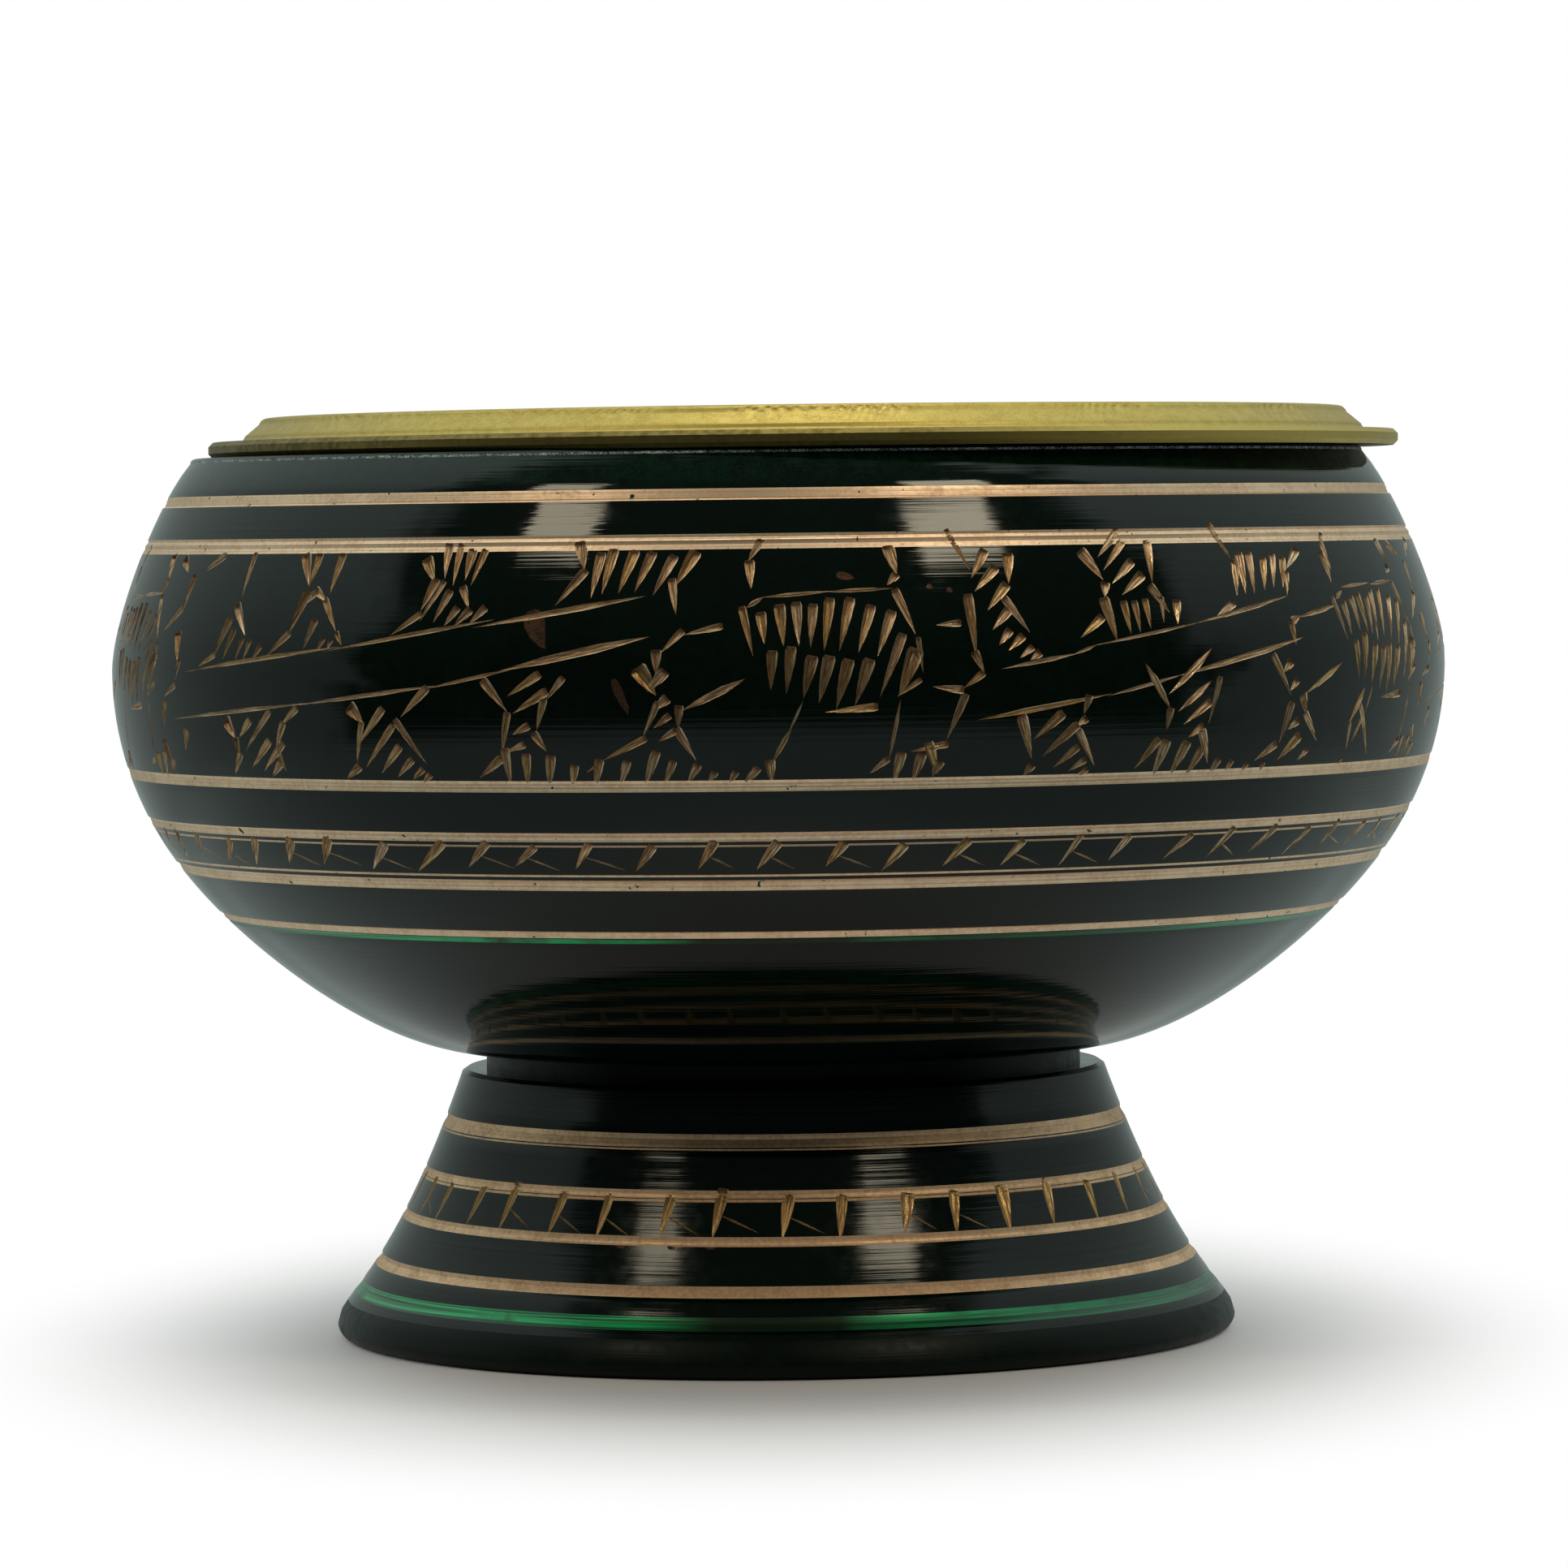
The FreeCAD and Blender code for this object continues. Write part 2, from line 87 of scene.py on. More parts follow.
class Profile:
    """A (radius, height) line walked by its length: radius and height at a length, and the length at a
    height. The outward normal is the tangent turned by a right angle."""

    def __init__(self, points):
        keep = np.r_[True, np.linalg.norm(np.diff(points, axis=0), axis=1) > 1e-9]
        self.points = np.array(points)[keep]
        self.length = np.r_[0, np.cumsum(np.linalg.norm(np.diff(self.points, axis=0), axis=1))]
        tangent = np.gradient(self.points, self.length, axis=0)
        tangent /= np.linalg.norm(tangent, axis=1)[:, None]
        self.normal = np.stack([tangent[:, 1], -tangent[:, 0]], axis=1)

    def at(self, s, depth=0.0):
        """Radius and height at a length, sunk along the normal: (r, z) - depth n."""
        r = np.interp(s, self.length, self.points[:, 0])
        z = np.interp(s, self.length, self.points[:, 1])
        n = self.normal_at(s)
        return r - n[..., 0] * depth, z - n[..., 1] * depth

    def normal_at(self, s):
        """Outward normal at a length, as radius and height, of length one."""
        n = np.stack([np.interp(s, self.length, self.normal[:, k]) for k in (0, 1)], axis=-1)
        return n / np.linalg.norm(n, axis=-1)[..., None]

    def find(self, height):
        """Length along the profile at a height."""
        return np.interp(height, self.points[:, 1], self.length)


MOUTH_IN = 31.6
INNER_BELLY = 36.2
SHOULDER = 18.4
HIP = np.array([33.05, 25.6])
BASE = np.array([17.6, 16.4])
RIM = np.array([33.4, MOUTH_TOP - 0.3])
outer_bowl = Profile(np.vstack([
    smooth_curve([BASE, BASE + (5.18, 0), HIP - (3.44, 3.94), HIP]),
    smooth_curve([HIP, HIP + (1.57, 1.8), (BELLY, 31.6), (BELLY, 38.2)])[1:],
    smooth_curve([(BELLY, 38.2), (BELLY, 41.18), RIM + (1.8, -2.03), RIM])[1:]]))
outer_foot = Profile(smooth_curve([(FOOT_REACH, 0.8), (FOOT_REACH, 2.41), (22.73, 3.0),
                                   (SHOULDER, FOOT_TOP - 0.2)]))
print("bowl wall %.1f mm, foot wall %.1f mm along the profile" % (
    outer_bowl.length[-1], outer_foot.length[-1]))

# %% [markdown]
# ## The engraver's pattern book
# The frieze is struck, not drawn: each mark is one push of a burin, with a blunt wide head where the tool
# dug in and a thin tail where it lifted. So a mark needs only its head, its tail and its width. They are
# given in millimetres round the belly (from the front, to the right) and above the ground. A painted
# texture would be quicker, but these marks are cuts that catch the light on two slopes, so they are cut.

# %% Marks of the shell, the long leaf panel and the short leaf panel
# Each mark: head across, head height, tail across, tail height, width.
SHELL = [
    (-0.9, 41.6, -0.7, 39.9, .60), (0.1, 42.0, 0.3, 39.8, .65), (1.0, 42.1, 1.1, 39.8, .60),
    (1.9, 42.0, 1.7, 39.7, .55), (2.8, 42.3, 2.4, 39.5, .60), (3.9, 42.3, 3.2, 39.5, .60),
    (5.0, 41.9, 4.2, 39.4, .60), (6.1, 41.6, 5.2, 39.2, .60), (-0.3, 39.6, -0.4, 37.5, .60),
    (0.7, 39.8, 0.4, 37.3, .60), (1.8, 39.3, 1.3, 37.1, .70), (2.7, 39.3, 2.1, 36.8, .70),
    (3.7, 39.1, 3.0, 36.5, .70), (4.8, 39.1, 4.0, 36.7, .70), (6.6, 40.4, 5.3, 37.1, .55),
    (7.3, 39.6, 6.3, 37.1, .90), (-1.9, 41.9, -1.3, 39.3, .45), (6.3, 42.7, 7.3, 40.3, .50),
    (6.1, 45.0, 6.5, 43.4, .75), (6.5, 43.5, 5.9, 42.9, .50), (7.5, 38.0, 6.2, 37.1, .30),
    (5.2, 36.6, 2.4, 36.35, .45), (5.8, 33.9, 4.8, 33.1, .40), (7.4, 40.2, 7.6, 38.3, .30),
    (-1.5, 44.3, -1.4, 42.8, .60), (-0.8, 45.4, -1.6, 44.2, .50), (6.5, 34.2, 6.1, 32.5, .60),
    (7.6, 34.1, 7.1, 32.5, .60), (8.6, 33.7, 8.2, 32.9, .60), (7.9, 34.7, 8.5, 33.0, .60),
]
LONG_PANEL = [
    # clusters over the upper stem
    (-37.0, 44.9, -39.0, 43.9, .60), (-40.0, 43.8, -40.2, 41.9, .60), (-42.3, 44.7, -41.0, 43.9, .70),
    (-40.3, 42.0, -42.3, 40.7, .50), (-40.2, 40.7, -39.7, 39.0, .80), (-39.5, 39.2, -39.9, 38.0, .50),
    (-39.9, 37.8, -41.5, 37.1, .35), (-41.5, 37.0, -41.9, 35.4, .60), (-39.0, 35.4, -39.6, 34.2, .60),
    (-33.9, 45.0, -34.0, 42.6, .45), (-34.3, 42.2, -32.9, 40.5, .65), (-34.6, 41.5, -35.6, 39.4, .65),
    (-34.0, 40.9, -34.7, 39.2, .50), (-33.1, 40.4, -33.5, 39.2, .40), (-32.4, 40.3, -32.8, 39.2, .40),
    (-31.4, 40.0, -32.0, 39.2, .45), (-35.5, 39.5, -37.2, 38.8, .35), (-29.3, 44.9, -28.3, 43.1, .75),
    (-28.1, 44.9, -28.3, 43.2, .60), (-28.3, 42.9, -29.2, 40.6, .70), (-29.1, 40.7, -30.8, 39.4, .45),
    (-27.6, 42.9, -28.7, 42.0, .50), (-27.3, 41.4, -27.9, 39.8, .55), (-26.3, 44.9, -26.6, 42.7, .60),
    (-26.9, 42.5, -25.6, 40.7, .45), (-25.6, 40.7, -25.1, 40.0, .35), (-26.5, 40.4, -26.8, 39.7, .40),
    (-25.9, 40.3, -26.1, 39.8, .35), (-27.8, 43.0, -26.7, 42.3, .50), (-20.3, 44.6, -19.5, 43.3, .75),
    (-19.0, 45.4, -18.9, 43.5, .60), (-18.2, 45.4, -18.3, 43.1, .50), (-17.4, 45.1, -17.6, 43.4, .65),
    (-16.6, 45.1, -17.2, 43.1, .50), (-19.4, 43.5, -20.1, 41.8, .60), (-18.9, 43.4, -20.1, 41.2, .45),
    (-20.0, 41.7, -21.9, 40.5, .40), (-18.4, 42.9, -19.2, 41.2, .55), (-17.7, 43.1, -17.1, 41.9, .50),
    (-17.8, 42.0, -18.5, 41.0, .50), (-17.0, 41.9, -17.9, 41.0, .55), (-16.1, 42.0, -17.0, 41.1, .50),
    (-11.0, 45.4, -10.6, 43.9, .80), (-10.5, 43.9, -12.1, 42.0, .55), (-9.7, 44.8, -10.1, 42.4, .60),
    (-9.0, 45.0, -9.5, 42.6, .65), (-7.8, 44.9, -8.6, 42.6, .65), (-6.8, 44.8, -7.7, 42.7, .60),
    (-5.6, 44.6, -6.7, 42.5, .60), (-4.4, 44.8, -5.5, 43.0, .75), (-5.7, 43.4, -5.4, 41.5, .50),
    # clusters under the lower stem
    (-34.6, 36.0, -33.8, 34.9, .85), (-33.9, 35.0, -33.7, 34.1, .60), (-32.3, 36.0, -33.5, 35.0, .50),
    (-30.5, 36.5, -33.2, 34.2, .40), (-33.6, 34.2, -34.6, 33.0, .50), (-30.8, 34.9, -32.9, 33.3, .50),
    (-28.3, 36.7, -29.7, 35.7, .45), (-29.5, 35.9, -30.4, 34.4, .50), (-29.7, 34.8, -31.8, 33.2, .50),
    (-30.4, 34.5, -29.9, 33.2, .50), (-30.2, 33.7, -31.2, 32.9, .50), (-24.5, 36.8, -23.6, 35.9, .85),
    (-23.7, 36.0, -24.4, 33.6, .40), (-24.2, 33.6, -25.3, 32.9, .50), (-22.2, 36.7, -24.0, 34.8, .50),
    (-21.6, 35.8, -23.8, 33.5, .45), (-21.3, 34.7, -22.8, 33.2, .50), (-20.6, 34.0, -21.8, 33.0, .45),
    (-20.0, 33.5, -20.8, 32.9, .40), (-19.6, 33.2, -20.2, 32.7, .40), (-19.3, 37.8, -21.1, 36.2, .50),
    (-21.5, 36.1, -19.7, 33.7, .45), (-16.0, 38.2, -14.6, 36.5, .55), (-14.6, 36.5, -15.1, 34.2, .45),
    (-15.1, 34.1, -16.6, 33.0, .50), (-12.7, 38.5, -14.6, 37.3, .50), (-12.3, 37.6, -14.3, 36.4, .50),
    (-11.4, 38.3, -12.4, 37.1, .40), (-12.5, 37.2, -13.0, 35.5, .45), (-13.4, 35.8, -14.4, 35.3, .45),
    (-13.7, 34.8, -14.8, 34.4, .40), (-13.2, 35.4, -12.5, 34.4, .50),
    # the curled sprig between the stems and the shell
    (-7.4, 38.8, -6.4, 37.3, .95), (-6.4, 39.7, -6.4, 38.4, .60), (-5.9, 38.6, -6.9, 37.5, .65),
    (-2.9, 40.9, -5.0, 40.45, .40), (-5.0, 40.7, -6.2, 39.5, .42), (-5.8, 37.2, -6.5, 36.6, .60),
    (-6.3, 37.0, -7.2, 35.1, .38), (-7.0, 35.1, -9.5, 33.9, .40), (-5.2, 36.8, -5.3, 35.5, .50),
    (-5.7, 36.3, -6.6, 35.6, .40), (-5.4, 35.5, -6.4, 34.9, .40), (-5.4, 35.6, -4.4, 33.9, .50),
    (-9.4, 33.9, -10.4, 33.3, .20),
    # grass along the ring line
    (-14.9, 34.6, -14.8, 32.4, .55), (-13.7, 34.3, -13.8, 32.4, .55), (-12.3, 34.2, -12.6, 32.4, .60),
    (-11.0, 33.7, -11.3, 32.4, .50), (-9.6, 34.0, -10.0, 32.4, .55), (-8.1, 33.9, -8.6, 32.5, .50),
    (-6.5, 34.4, -7.3, 32.4, .55), (-5.6, 33.9, -6.2, 32.5, .45), (-4.3, 33.7, -4.9, 32.7, .50),
    (-3.4, 33.3, -3.8, 32.7, .40), (-2.3, 33.3, -2.7, 32.6, .40), (-1.1, 33.5, -2.1, 32.4, .45),
    (-0.5, 33.9, -0.4, 32.6, .60),
]
SHORT_PANEL = [
    # the tall curled stem beside the shell
    (9.5, 45.8, 10.6, 43.6, .42), (11.6, 44.7, 10.6, 43.2, .60), (12.1, 43.8, 10.7, 42.5, .60),
    (12.9, 44.5, 12.7, 42.9, .70), (12.6, 42.9, 11.3, 41.5, .60), (12.3, 42.2, 13.6, 40.3, .50),
    (12.6, 41.6, 11.5, 40.5, .55), (12.5, 40.5, 11.8, 39.7, .50), (13.2, 40.2, 12.3, 39.4, .50),
    (13.7, 39.6, 12.9, 39.0, .40), (14.1, 39.3, 13.5, 38.9, .50), (10.3, 42.4, 10.5, 39.0, .60),
    (10.4, 39.4, 10.9, 38.3, .50), (10.9, 38.3, 9.8, 37.5, .42), (9.8, 40.9, 8.4, 40.8, .40),
    (9.8, 37.4, 8.1, 37.6, .45), (9.9, 37.2, 8.9, 34.8, .48), (9.0, 34.6, 6.9, 34.2, .40),
    # clusters over the upper stem
    (17.3, 44.6, 18.4, 43.0, .75), (20.1, 45.7, 18.3, 44.2, .55), (20.2, 45.1, 18.5, 43.5, .50),
    (20.5, 44.0, 18.9, 42.8, .55), (21.0, 43.3, 19.4, 42.2, .60), (18.5, 42.9, 18.3, 42.1, .60),
    (18.2, 42.1, 18.7, 39.7, .70), (18.0, 41.1, 16.5, 40.0, .50), (19.4, 41.9, 19.6, 40.1, .50),
    (20.1, 41.9, 20.2, 40.2, .45), (20.8, 42.0, 20.9, 40.4, .45), (21.8, 45.1, 21.5, 42.8, .60),
    (21.3, 42.7, 22.3, 41.2, .60), (21.9, 42.1, 21.8, 40.7, .35), (22.9, 41.9, 22.7, 40.6, .60),
    (26.6, 45.9, 27.6, 43.9, .50), (28.3, 44.4, 28.0, 42.1, .70), (29.1, 44.4, 28.7, 42.1, .60),
    (30.2, 44.1, 29.6, 42.3, .60), (31.1, 44.3, 30.4, 42.4, .55), (31.9, 44.1, 31.2, 42.4, .60),
    (33.5, 44.5, 31.9, 43.4, .60), (27.8, 44.0, 27.3, 42.0, .60), (27.0, 41.7, 25.5, 41.0, .50),
    (31.9, 43.3, 31.4, 42.0, .40),
    # clusters under the lower stem
    (13.0, 36.0, 13.7, 33.7, .65), (15.4, 36.1, 13.7, 34.7, .60), (13.8, 33.4, 13.3, 32.8, .50),
    (16.3, 35.5, 14.3, 33.8, .55), (16.4, 34.3, 15.0, 33.2, .45), (16.9, 33.6, 15.9, 33.0, .40),
    (17.1, 33.1, 16.4, 32.7, .35), (16.9, 37.0, 16.6, 36.0, .50), (16.8, 35.8, 16.2, 35.4, .50),
    (16.3, 35.2, 17.5, 33.2, .45), (22.0, 36.2, 21.8, 35.0, .50), (21.4, 34.6, 20.0, 33.0, .50),
    (21.9, 34.5, 21.2, 32.4, .70), (23.3, 34.4, 22.3, 32.4, .70), (24.4, 34.0, 23.4, 32.4, .60),
    (24.7, 36.5, 22.9, 35.3, .50), (25.3, 37.8, 24.6, 35.2, .40), (24.3, 35.2, 23.3, 34.6, .50),
    (24.2, 35.0, 24.9, 33.2, .60), (25.7, 33.4, 25.1, 32.4, .50), (26.7, 33.3, 26.2, 32.4, .40),
    (27.9, 33.1, 27.5, 32.5, .40), (29.2, 33.1, 29.0, 32.5, .35), (29.3, 38.9, 30.8, 36.6, .50),
    (30.8, 38.5, 30.1, 37.9, .60), (31.3, 37.5, 30.7, 36.9, .50), (30.9, 36.3, 30.2, 34.1, .60),
    (30.0, 34.1, 28.4, 33.2, .50), (31.9, 34.5, 30.3, 33.2, .70), (32.8, 33.7, 32.0, 33.1, .40),
    (31.6, 35.3, 30.7, 34.8, .50), (31.8, 36.7, 32.2, 35.6, .70), (32.1, 35.7, 33.5, 34.1, .50),
    # the link to the next shell
    (31.2, 40.6, 31.3, 39.3, .50), (31.3, 40.6, 32.1, 40.9, .50), (36.2, 44.9, 36.3, 43.3, .50),
    (36.6, 35.1, 36.7, 33.5, .35), (37.5, 36.0, 39.3, 33.1, .40), (36.4, 33.1, 36.1, 32.6, .30),
]
# Long pushes, widest near the middle: the stems and the shell's outline.
SHELL_STEMS = [
    (-1.7, 41.8, -0.7, 42.4, .30), (-0.9, 42.35, 3.0, 42.65, .25), (2.6, 42.6, 6.3, 42.75, .25),
    (1.3, 37.0, 0.5, 35.3, .16), (0.7, 35.6, -0.4, 33.7, .32), (6.4, 37.0, 5.8, 33.7, .26),
]
LONG_STEMS = [
    (-25.0, 39.95, -38.8, 38.5, .30), (-15.4, 41.35, -26.5, 39.65, .30), (-7.0, 42.5, -16.8, 40.9, .42),
    (-27.0, 36.95, -40.5, 35.9, .26), (-18.6, 37.9, -28.3, 36.8, .28), (-14.2, 38.75, -19.5, 37.7, .24),
    (-6.7, 40.4, -15.2, 38.6, .55), (-1.7, 38.15, -5.1, 36.5, .50),
]
SHORT_STEMS = [
    (16.3, 39.2, 11.8, 38.45, .28), (17.5, 39.65, 15.9, 39.1, .20), (24.3, 40.7, 17.0, 39.55, .22),
    (31.5, 42.0, 23.7, 40.6, .30), (10.5, 35.8, 18.3, 37.05, .36), (22.7, 37.95, 17.9, 36.9, .24),
    (32.1, 39.75, 22.2, 37.85, .40), (20.3, 38.6, 22.0, 36.1, .50), (24.8, 39.3, 21.8, 36.9, .50),
    (24.7, 37.6, 22.5, 36.0, .45), (35.5, 38.35, 32.0, 36.7, .42), (35.9, 41.45, 31.8, 40.8, .34),
    (38.0, 37.0, 36.5, 35.0, .50),
]
print("pattern book: %d marks and %d stems" % (
    len(SHELL) + len(LONG_PANEL) + len(SHORT_PANEL), len(SHELL_STEMS) + len(LONG_STEMS) + len(SHORT_STEMS)))

# %% [markdown]
# ## Laying the frieze out round the bowl
# The engraver works by eye: shell, leaf panel, shell, leaf panel, with one panel shorter than the rest to
# close the circle. The panels at the front come straight from the pattern book. The others are the same
# panel struck again, so every mark lands a little differently, which a seeded random shift stands in for.

# %% Marks all the way round
# From one shell to the next, across the short panel and across a long one; how far the hand strays; and how
# wide the marks and stems are struck, as shares of the widths in the pattern book.
TURN = 2 * math.pi * BELLY
SHORT_STEP = 37.5
LONG_STEP = (TURN - SHORT_STEP) / 4
HAND = 0.10
MARK_WIDTH, STEM_WIDTH = 0.98, 0.85


def struck(marks, shift, again):
    """Marks moved round the belly; a panel struck again gets small random errors of the hand."""
    out = np.array(marks, float)
    if again:
        out[:, :4] += rng.normal(0, HAND, out[:, :4].shape)
        out[:, 4] *= rng.uniform(0.85, 1.15, len(out))
    out[:, [0, 2]] += shift
    return out


def frieze(shell, long_panel, short_panel):
    """Five shells with four long panels and one short panel between them."""
    shells = [0, SHORT_STEP, SHORT_STEP + LONG_STEP, SHORT_STEP + 2 * LONG_STEP, -LONG_STEP]
    panels = [0, SHORT_STEP + LONG_STEP, SHORT_STEP + 2 * LONG_STEP, -LONG_STEP]
    laid = [struck(shell, shift, shift != 0) for shift in shells]
    laid += [struck(long_panel, shift, shift != 0) for shift in panels]
    laid.append(struck(short_panel, 0, False))
    return np.vstack(laid)


def tick_row(count, start, top, bottom, lean, width, girth):
    """A row of leaning marks between two ring lines, evenly spaced but for the errors of the hand."""
    across = start + np.arange(count) * girth / count + rng.normal(0, 0.25, count)
    high = top + rng.normal(0, 0.13, count)
    low = bottom + rng.normal(0, 0.13, count)
    slant = lean * (1 + rng.normal(0, 0.22, count))
    return np.stack([across + slant, high, across, low, width * (1 + rng.normal(0, 0.12, count))], axis=1)


def hair_tails(ticks, reach, fall, width):
    """Hairlines that the burin's corner left as it slid from one tick down to the next."""
    some = ticks[rng.random(len(ticks)) < 0.6]
    x, z = (some[:, 0] + some[:, 2]) / 2, (some[:, 1] + some[:, 3]) / 2
    thin = np.full(len(some), width)
    return np.stack([x, z, x + reach * rng.uniform(0.7, 1.2, len(some)), z - fall, thin], axis=1)


frieze_marks = frieze(SHELL, LONG_PANEL, SHORT_PANEL)
frieze_stems = frieze(SHELL_STEMS, LONG_STEMS, SHORT_STEMS)
frieze_marks[:, 4] *= MARK_WIDTH
frieze_stems[:, 4] *= STEM_WIDTH
# Chips of missing lacquer: the same five numbers as a mark.
frieze_chips = np.array([(-13.4, 41.8, -12.7, 39.9, 1.2), (-8.7, 38.2, -7.9, 36.3, .5),
                         (3.2, 43.5, 4.2, 43.3, .45), (8.1, 42.9, 8.4, 42.7, .3), (9.2, 42.7, 9.5, 42.5, .3)])
bowl_ticks = tick_row(68, -29.3, 29.5, 28.05, 1.45, .60, TURN)
bowl_hairs = hair_tails(bowl_ticks, 2.2, 0.75, .12)
FOOT_GAUGE = 21.0
foot_ticks = tick_row(40, -13.6, 9.7, 7.2, .45, .66, 2 * math.pi * FOOT_GAUGE)
foot_hairs = hair_tails(foot_ticks, 2.0, 1.0, .12)
foot_chips = np.array([(-9.1, 7.0, -8.6, 6.8, .4), (-6.2, 7.0, -5.8, 6.75, .4), (-4.2, 7.0, -3.7, 6.8, .35)])
print("frieze: %d marks, %d stems; ticks: %d on the bowl, %d on the foot" % (
    len(frieze_marks), len(frieze_stems), len(bowl_ticks), len(foot_ticks)))

# %% [markdown]
# ## What a cut does to the surface
# A burin leaves a V-shaped groove. The hand leans the tool, so the V's floor lies nearer one side: one
# slope is broad and bright, the other narrow and dark. Where two cuts cross, the deeper one wins. So the
# whole frieze is one function, the depth at a point of the unrolled wall, and it can be asked at any point
# the mesh happens to need.

# %% Depth of cuts and ring lines
# Stations along a mark from head to tail, and the half width of each kind of mark there as a share of its
# greatest. EDGE is the least room kept between a mark and the end of its band; TOOL_LEAN is where the V's
# floor lies, from -1 at one side to 1 at the other.
STATIONS = np.array([0.0, 0.08, 0.35, 0.68, 1.0])
WEDGE = np.array([0.78, 1.0, 0.88, 0.52, 0.0])
LENS = np.array([0.0, 0.30, 1.0, 0.85, 0.0])
CHIP = np.array([0.35, 0.8, 1.0, 0.75, 0.3])
EDGE = 0.05
TOOL_LEAN = -0.30


class Cuts:
    """Marks on the unrolled wall (across, along its length), kept where they fit between two lengths.
    Each kind is (marks, shape, steepness, finish); its shape is a mark's half width, as a share of its
    greatest, at the five stations from head to tail."""

    def __init__(self, profile, low, high, gauge, *kinds):
        marks = np.vstack([marks for marks, _, _, _ in kinds])
        shapes, steep, finish = [np.repeat([kind[k] for kind in kinds], [len(kind[0]) for kind in kinds],
                                           axis=0) for k in (1, 2, 3)]
        girth = 2 * math.pi * gauge
        turns = np.round((marks[:, 0] + marks[:, 2]) / 2 / girth)
        head = np.stack([marks[:, 0] - turns * girth, profile.find(marks[:, 1])], axis=1)
        tail = np.stack([marks[:, 2] - turns * girth, profile.find(marks[:, 3])], axis=1)
        wide = marks[:, 4] / 2 + EDGE
        across = np.maximum(np.abs(head[:, 0]), np.abs(tail[:, 0])) + wide
        bottom = np.minimum(head[:, 1], tail[:, 1]) - wide
        top = np.maximum(head[:, 1], tail[:, 1]) + wide
        fits = (across < girth / 2) & (bottom > low) & (top < high)
        self.head, self.tail = head[fits], tail[fits]
        self.half = (marks[:, 4:5] / 2 * shapes)[fits]
        self.steep, self.finish = steep[fits], finish[fits]
        run = self.tail - self.head
        self.long = np.linalg.norm(run, axis=1)
        self.run = run / self.long[:, None]
        self.tone = rng.random(len(self.long))
        self.lean = TOOL_LEAN + rng.normal(0, 0.12, len(self.long))

    def outline(self, k):
        """Left side from head to tail, back along the right side, then the middle line."""
        side = np.array([-self.run[k][1], self.run[k][0]])
        straight = self.head[k] + np.outer(STATIONS * self.long[k], self.run[k])
        offset = self.half[k][:, None] * side
        middle = straight + self.lean[k] * offset
        sharp = self.half[k][0] == 0
        inner = slice(1, -1) if sharp else slice(0, -1)
        left, right = (straight + offset)[inner], (straight - offset)[inner][::-1]
        return np.vstack([middle[:1]] * int(sharp) + [left, middle[-1:], right]), middle

    def depth(self, points):
        """Greatest V depth over all marks, and which mark cuts deepest."""
        deep = np.zeros(len(points))
        winner = np.zeros(len(points), int)
        for k in range(len(self.long)):
            rel = points - self.head[k]
            along = rel @ self.run[k]
            near = np.flatnonzero((along > -1e-6) & (along < self.long[k] + 1e-6))
            off = rel[near, 1] * self.run[k][0] - rel[near, 0] * self.run[k][1]
            t = along[near] / self.long[k]
            half = np.interp(t, STATIONS, self.half[k])
            flank = np.minimum((half + off) / (1 + self.lean[k]), (half - off) / (1 - self.lean[k]))
            cut = self.steep[k] * flank * np.clip(t / STATIONS[1], 0, 1)
            won = cut > deep[near]
            deep[near[won]] = cut[won]
            winner[near[won]] = k
        return deep, winner

    def stroke(self, points, k):
        """A point's place in its own mark: millimetres from the head, and share of the half width across."""
        rel = points - self.head[k][:, None]
        run = self.run[k][:, None]
        along = (rel * run).sum(axis=-1)
        off = rel[..., 1] * run[..., 0] - rel[..., 0] * run[..., 1]
        return np.stack([along, off / self.half.max(axis=1)[k][:, None]], axis=-1)


def line_depth(lines, s):
    """Depth of the turned ring lines at a length along the profile."""
    deep = np.zeros_like(s)
    for corners, _ in lines:
        x, y = np.array(corners).T
        deep = np.maximum(deep, np.interp(s, x, y, left=0, right=0))
    return deep


def line_finish(lines, s, wall):
    """Finish at a length: a ring line's own inside it, the wall's outside."""
    found = np.full(len(s), wall)
    for corners, finish in lines:
        found[(s > corners[0][0]) & (s < corners[-1][0])] = finish
    return found


def ring_line(profile, low, high, finish, depth, steps, share):
    """One turned line between two heights: corners (length, depth) of a lopsided V, deepest at a share of
    its width, with faint tool steps on its longer flank; and its finish."""
    a, b = profile.find(low), profile.find(high)
    deepest = a + share * (b - a)
    near, far = (a, deepest) if share > 0.5 else (b, deepest)
    t = np.linspace(0, 1, 2 * steps + 2)[1:-1]
    step = 0.10 * depth * np.where(np.arange(len(t)) % 2, -1, 1)
    flank = list(zip(near + t * (far - near), depth * t + step)) if steps else []
    return sorted([(a, 0.0), (deepest, depth), (b, 0.0)] + flank), finish


print("a mark has %d stations, its V leans %.2f of the half width" % (len(STATIONS), TOOL_LEAN))

# %% [markdown]
# ## Cutting the marks into the wall
# The band of wall that carries marks is unrolled flat and split into triangles that respect every outline
# and every middle line (a constrained Delaunay triangulation). Then the flat sheet is rolled back round the
# bowl, with each corner sunk by the depth of cut there. A fine regular grid could show the same marks, but
# its edges would be ragged unless it had millions of faces; here each slope of each cut is a clean facet.

# %% The unrolled band in triangles
COLUMNS = 288


